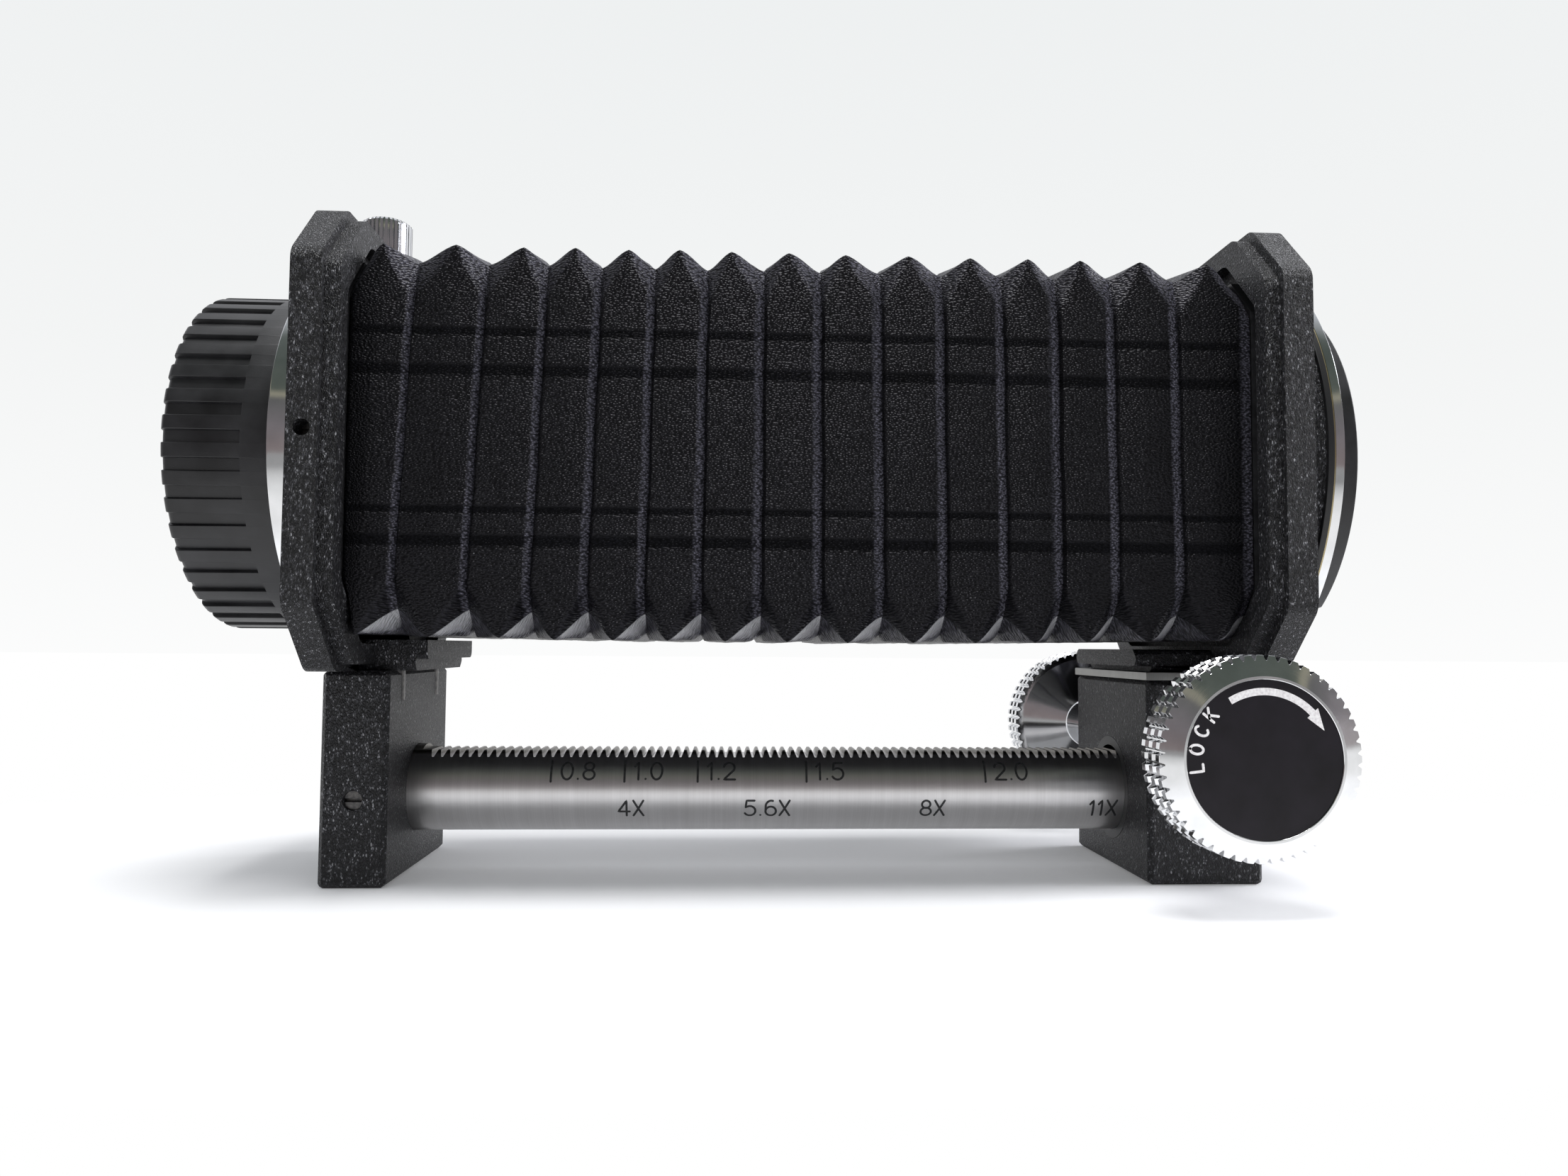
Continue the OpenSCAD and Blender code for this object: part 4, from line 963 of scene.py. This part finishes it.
def bellows_ring(valley, ridge, u, wall_w, dip):
    """One ring of points at a share u of the way from a ridge to a valley, whose depth is cut by the dip.

    The flat panel runs from the ridge to a steep wall beside the valley. Gives the points, their places
    round the cloth and how much painted sheen each gets.
    """
    middle_x = (cloth_low.x + cloth_high.x) / 2 / mm
    reach = (cloth_high.x - cloth_low.x) / 2 / mm
    half = end_half + swell * (1 - ((ridge - middle_x) / reach) ** 2)
    panel = 1 - wall_w / abs(valley - ridge)
    down_wall = max(0.0, (u - panel) / (1 - panel))
    wall_depth = (fold_depth - panel_dip) * (0.75 * down_wall + 0.25 * down_wall ** 2)
    flat = panel_dip * min(u / panel, 1) + wall_depth * dip
    slope = 0.4 * u + 0.6 * float(smooth_step(u))
    corners = end_corner_depths if dip < 1 else corner_depths
    arch = 0.1 + arch_h * u ** arch_power
    q = np.array(arch_steps)
    rest = np.array(panel_steps)
    points, round_at, painted_sheen = [], [], []
    # Painted sheen: the wall before each valley on the right-facing slope, and the corner facets, fuller on
    # that slope, are painted pale as if lit from the right and above.
    front_slope = valley > ridge
    on_wall = min(1.0, down_wall * 4) if front_slope else 0.0
    on_corner = (1.0 if front_slope else 0.3) * min(1.0, u * 6) * (1 - q) ** 0.35
    for side, (along, out) in enumerate(side_ways):
        run = []
        for corner in (corners[side] * slope, corners[(side + 1) % 4] * slope):
            depth = corner + (flat - corner) * (1 - (1 - q) ** 1.25)
            place = half - edge_round - q * arch - (corner - edge_round * 0.6) * (1 - q)
            depth = np.concatenate([depth, np.full(len(rest), flat)])
            place = np.concatenate([place, place[-1] * (1 - rest)])
            run.append((depth, place))
        wear_and_painted_light = [np.concatenate([np.maximum(on_corner * share, on_wall), np.full(len(rest), on_wall)])
                for share in corner_sheen[side]]
        painted_sheen.append(np.concatenate([wear_and_painted_light[0], wear_and_painted_light[1][-2::-1]]))
        depth = np.concatenate([run[0][0], run[1][0][-2::-1]])
        place = np.concatenate([-run[0][1], run[1][1][-2::-1]])
        points += [(along[0] * t + out[0] * (half - d), along[1] * t + out[1] * (half - d))
                   for d, t in zip(depth, place)]
        round_at += [side * 2 * half + half + t for t in place]
    x = ridge + (valley - ridge) * u
    bowed = 1 - ((x - middle_x) / reach) ** 2
    ring = np.array([(x, y, z) for y, z in points])
    ring[:, 2] += optical_z / mm - sag * bowed
    return ring, np.array(round_at), np.concatenate(painted_sheen)


def bellows_points():
    """Rings of the outer skin, with the distance along and round the cloth of each point."""
    rings, places, sheen_rings, travelled = [], [], [], 0.0
    for fold, (left, ridge, right) in enumerate(fold_places()):
        rear_dip = 1 if fold else end_dip
        front_dip = 1 if fold < len(fold_gaps) else end_dip
        steps = [(left, u, rear_wall_w, rear_dip) for u in fold_steps[::-1][fold > 0:-1]]
        steps += [(right, u, front_wall_w + 0.05 * fold, front_dip) for u in fold_steps]
        for valley, u, wall_w, dip in steps:
            points, round_at, painted_sheen = bellows_ring(valley, ridge, u, wall_w, dip)
            if rings:
                travelled += np.linalg.norm(points[13] - rings[-1][13])
            rings.append(points)
            places.append((travelled, round_at))
            sheen_rings.append(painted_sheen)
    return rings, places, sheen_rings


def settled(points):
    """Leans the folds and adds the slight unevenness of old cloth."""
    out = points.copy()
    x, y, z = points[:, 0], points[:, 1], points[:, 2] - optical_z / mm
    inner = smooth_step((x - 1) / 4) * smooth_step((113 - x) / 4)
    below = (end_half - z) / (2 * end_half)
    out[:, 0] += inner * below * (-2.2 + 2.9 * smooth_step((x - 12) / 60))
    out[:, 0] += inner * (0.05 * np.sin(z * 0.33 + x * 0.9) + 0.03 * np.sin(z * 0.71 - x * 0.37))
    inward = 0.08 * np.sin(x * 0.61 + z * 0.21) * np.sin(z * 0.37 + x * 0.13)
    inward += 0.06 * np.sin(y * 0.9 + x * 0.45)
    off_axis = np.hypot(y, z)
    out[:, 1] -= inner * inward * y / off_axis
    out[:, 2] -= inner * inward * z / off_axis
    return out


def bellows_mesh():
    """The outer skin and a plainer inner one, joined at both ends."""
    rings, places, sheen_rings = bellows_points()
    around = len(rings[0])
    outer = [settled(points) for points in rings]
    centre = np.array((0, 0, optical_z / mm))
    keep = [i for i in range(len(rings)) if i % 10 == 0 or i == len(rings) - 1]
    shrink = np.array((1, 1 - cloth_t / end_half, 1 - cloth_t / end_half))
    inner = [(outer[i] - centre) * shrink + centre for i in keep]
    verts = np.concatenate(outer + inner) * mm
    faces, spots = [], []
    for i in range(len(rings) - 1):
        for j in range(around):
            k = (j + 1) % around
            faces.append((i * around + j, (i + 1) * around + j, (i + 1) * around + k, i * around + k))
            lap = places[i][1][0] + 8 * end_half
            for ring, at in ((i, j), (i + 1, j), (i + 1, k), (i, k)):
                spots.append((places[ring][0], lap if k == 0 and at == 0 else places[ring][1][at]))
    base = len(rings) * around
    for i in range(len(keep) - 1):
        for j in range(around):
            k = (j + 1) % around
            faces.append((base + i * around + j, base + i * around + k,
                          base + (i + 1) * around + k, base + (i + 1) * around + j))
            spots += [(0, 0)] * 4
    last, inner_last = (len(rings) - 1) * around, base + (len(keep) - 1) * around
    for j in range(around):
        k = (j + 1) % around
        faces.append((j, k, base + k, base + j))
        faces.append((last + k, last + j, inner_last + j, inner_last + k))
        spots += [(0, 0)] * 8
    mesh = bpy.data.meshes.new("folded_bellows")
    mesh.from_pydata(verts, [], faces)
    uv = mesh.uv_layers.new(name="cloth")
    uv.data.foreach_set("uv", (np.array(spots) * mm).ravel())
    # The painted sheen of each point, read by the cloth's colour.
    painted_sheen = mesh.attributes.new("painted_sheen", "FLOAT", "POINT")
    painted_sheen.data.foreach_set("value", np.concatenate(sheen_rings + [sheen_rings[i] for i in keep]))
    return mesh


def leathercloth():
    """Black coated cloth with a slanted pressed grain, with painted sheen on the walls and corners of the
    folds, and a painted grey reflection of the table on the bottom's corners.
    """
    material, tree, shader, place = new_finish("grained leathercloth", Roughness=0.4)
    shader.inputs["Specular Tint"].default_value = (0.92, 0.90, 1.0, 1)
    cloth = wire(tree, "ShaderNodeUVMap", uv_map="cloth").outputs[0]
    slant = wire(tree, "ShaderNodeMapping", {0: cloth, "Rotation": (0, 0, math.radians(38)),
                                             "Scale": (2200.0, 4600.0, 1.0)}).outputs[0]
    wander = wire(tree, "ShaderNodeTexNoise", {"Vector": cloth, "Scale": 1200.0}).outputs["Color"]
    warped = vector_node(tree, "MULTIPLY_ADD", wander, (0.8, 0.8, 0.0), slant)[0]
    cells = wire(tree, "ShaderNodeTexVoronoi", {"Vector": warped, "Scale": 1.0}, voronoi_dimensions="2D",
                 feature="SMOOTH_F1").outputs["Distance"]
    pebbles = ramp(tree, cells, (0.05, 1.0), (0.45, 0.45), (0.85, 0.0))
    fine = noise(tree, cloth, 7000.0, 2.0)
    grain = math_node(tree, "MULTIPLY_ADD", fine, 0.25, pebbles)
    soft_waves = noise(tree, cloth, 190.0, 3.0)
    off_lines = 1.0
    place_z = axis_parts(tree, place)["Z"]
    for at, half in press_lines:
        off = math_node(tree, "ABSOLUTE", math_node(tree, "SUBTRACT", place_z, at * mm))
        edge = rescaled(tree, off, half * 0.6 * mm, half * 1.2 * mm)
        off_lines = math_node(tree, "MULTIPLY", edge, off_lines)
    pressed = math_node(tree, "MULTIPLY_ADD", off_lines, 0.7, soft_waves)
    waves = raise_surface(tree, shader, pressed, 0.25 * mm, 0.5)
    raise_surface(tree, shader, grain, 0.12 * mm, 1.0, waves)
    tone = math_node(tree, "MULTIPLY", pebbles, soft_waves)
    colour = ramp(tree, tone, (0.0, (0.002, 0.002, 0.002)), (0.5, (0.005, 0.005, 0.006)),
                  (0.9, (0.014, 0.014, 0.017)))
    # Painted sheen: where the attribute is set, the grain's crests are painted pale violet-grey.
    painted_sheen = wire(tree, "ShaderNodeAttribute", attribute_name="painted_sheen").outputs["Fac"]
    peaks = math_node(tree, "MULTIPLY", math_node(tree, "MULTIPLY_ADD", fine, 0.6, pebbles), 0.7)
    crests = ramp(tree, peaks, (0.45, 0.06), (0.8, 0.35), (0.95, 1.0))
    pale = blend_colours(tree, math_node(tree, "MULTIPLY", painted_sheen, crests), colour, (0.20, 0.195, 0.24, 1))
    # Painted reflection: on the bottom's corners, where the attribute is above 1, the cloth is painted grey
    # as if it mirrored the white table.
    grey_below = rescaled(tree, painted_sheen, 1.0, 1.6, 0.0, 0.8)
    pale = blend_colours(tree, grey_below, pale, (0.40, 0.40, 0.41, 1))
    dust = ramp(tree, noise(tree, cloth, 2600.0, 1.0), (0.80, 0.0), (0.86, 1.0))
    tree.links.new(blend_colours(tree, dust, pale, (0.25, 0.25, 0.26, 1)), shader.inputs["Base Color"])
    tree.links.new(rescaled(tree, grain, 0, 1, 0.5, 0.3), shader.inputs["Roughness"])
    tree.links.new(rescaled(tree, off_lines, 0, 1, 0.03, 0.17), shader.inputs["Specular IOR Level"])
    return material


bellows = new_piece("folded_bellows", shade(bellows_mesh(), 50), leathercloth(), "rear_frame",
                    "bellows_cloth", "bellows")
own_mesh(bellows)

# ---- End plates of the bellows
# Thin square plates, enamelled satin black, that the cloth is glued round.
refinish(plain_finish("satin black enamel", (0.014, 0.014, 0.015), (0.028, 0.028, 0.03), 900.0,
                      Roughness=0.4),
         "rear_bellows_frame", "front_bellows_frame")
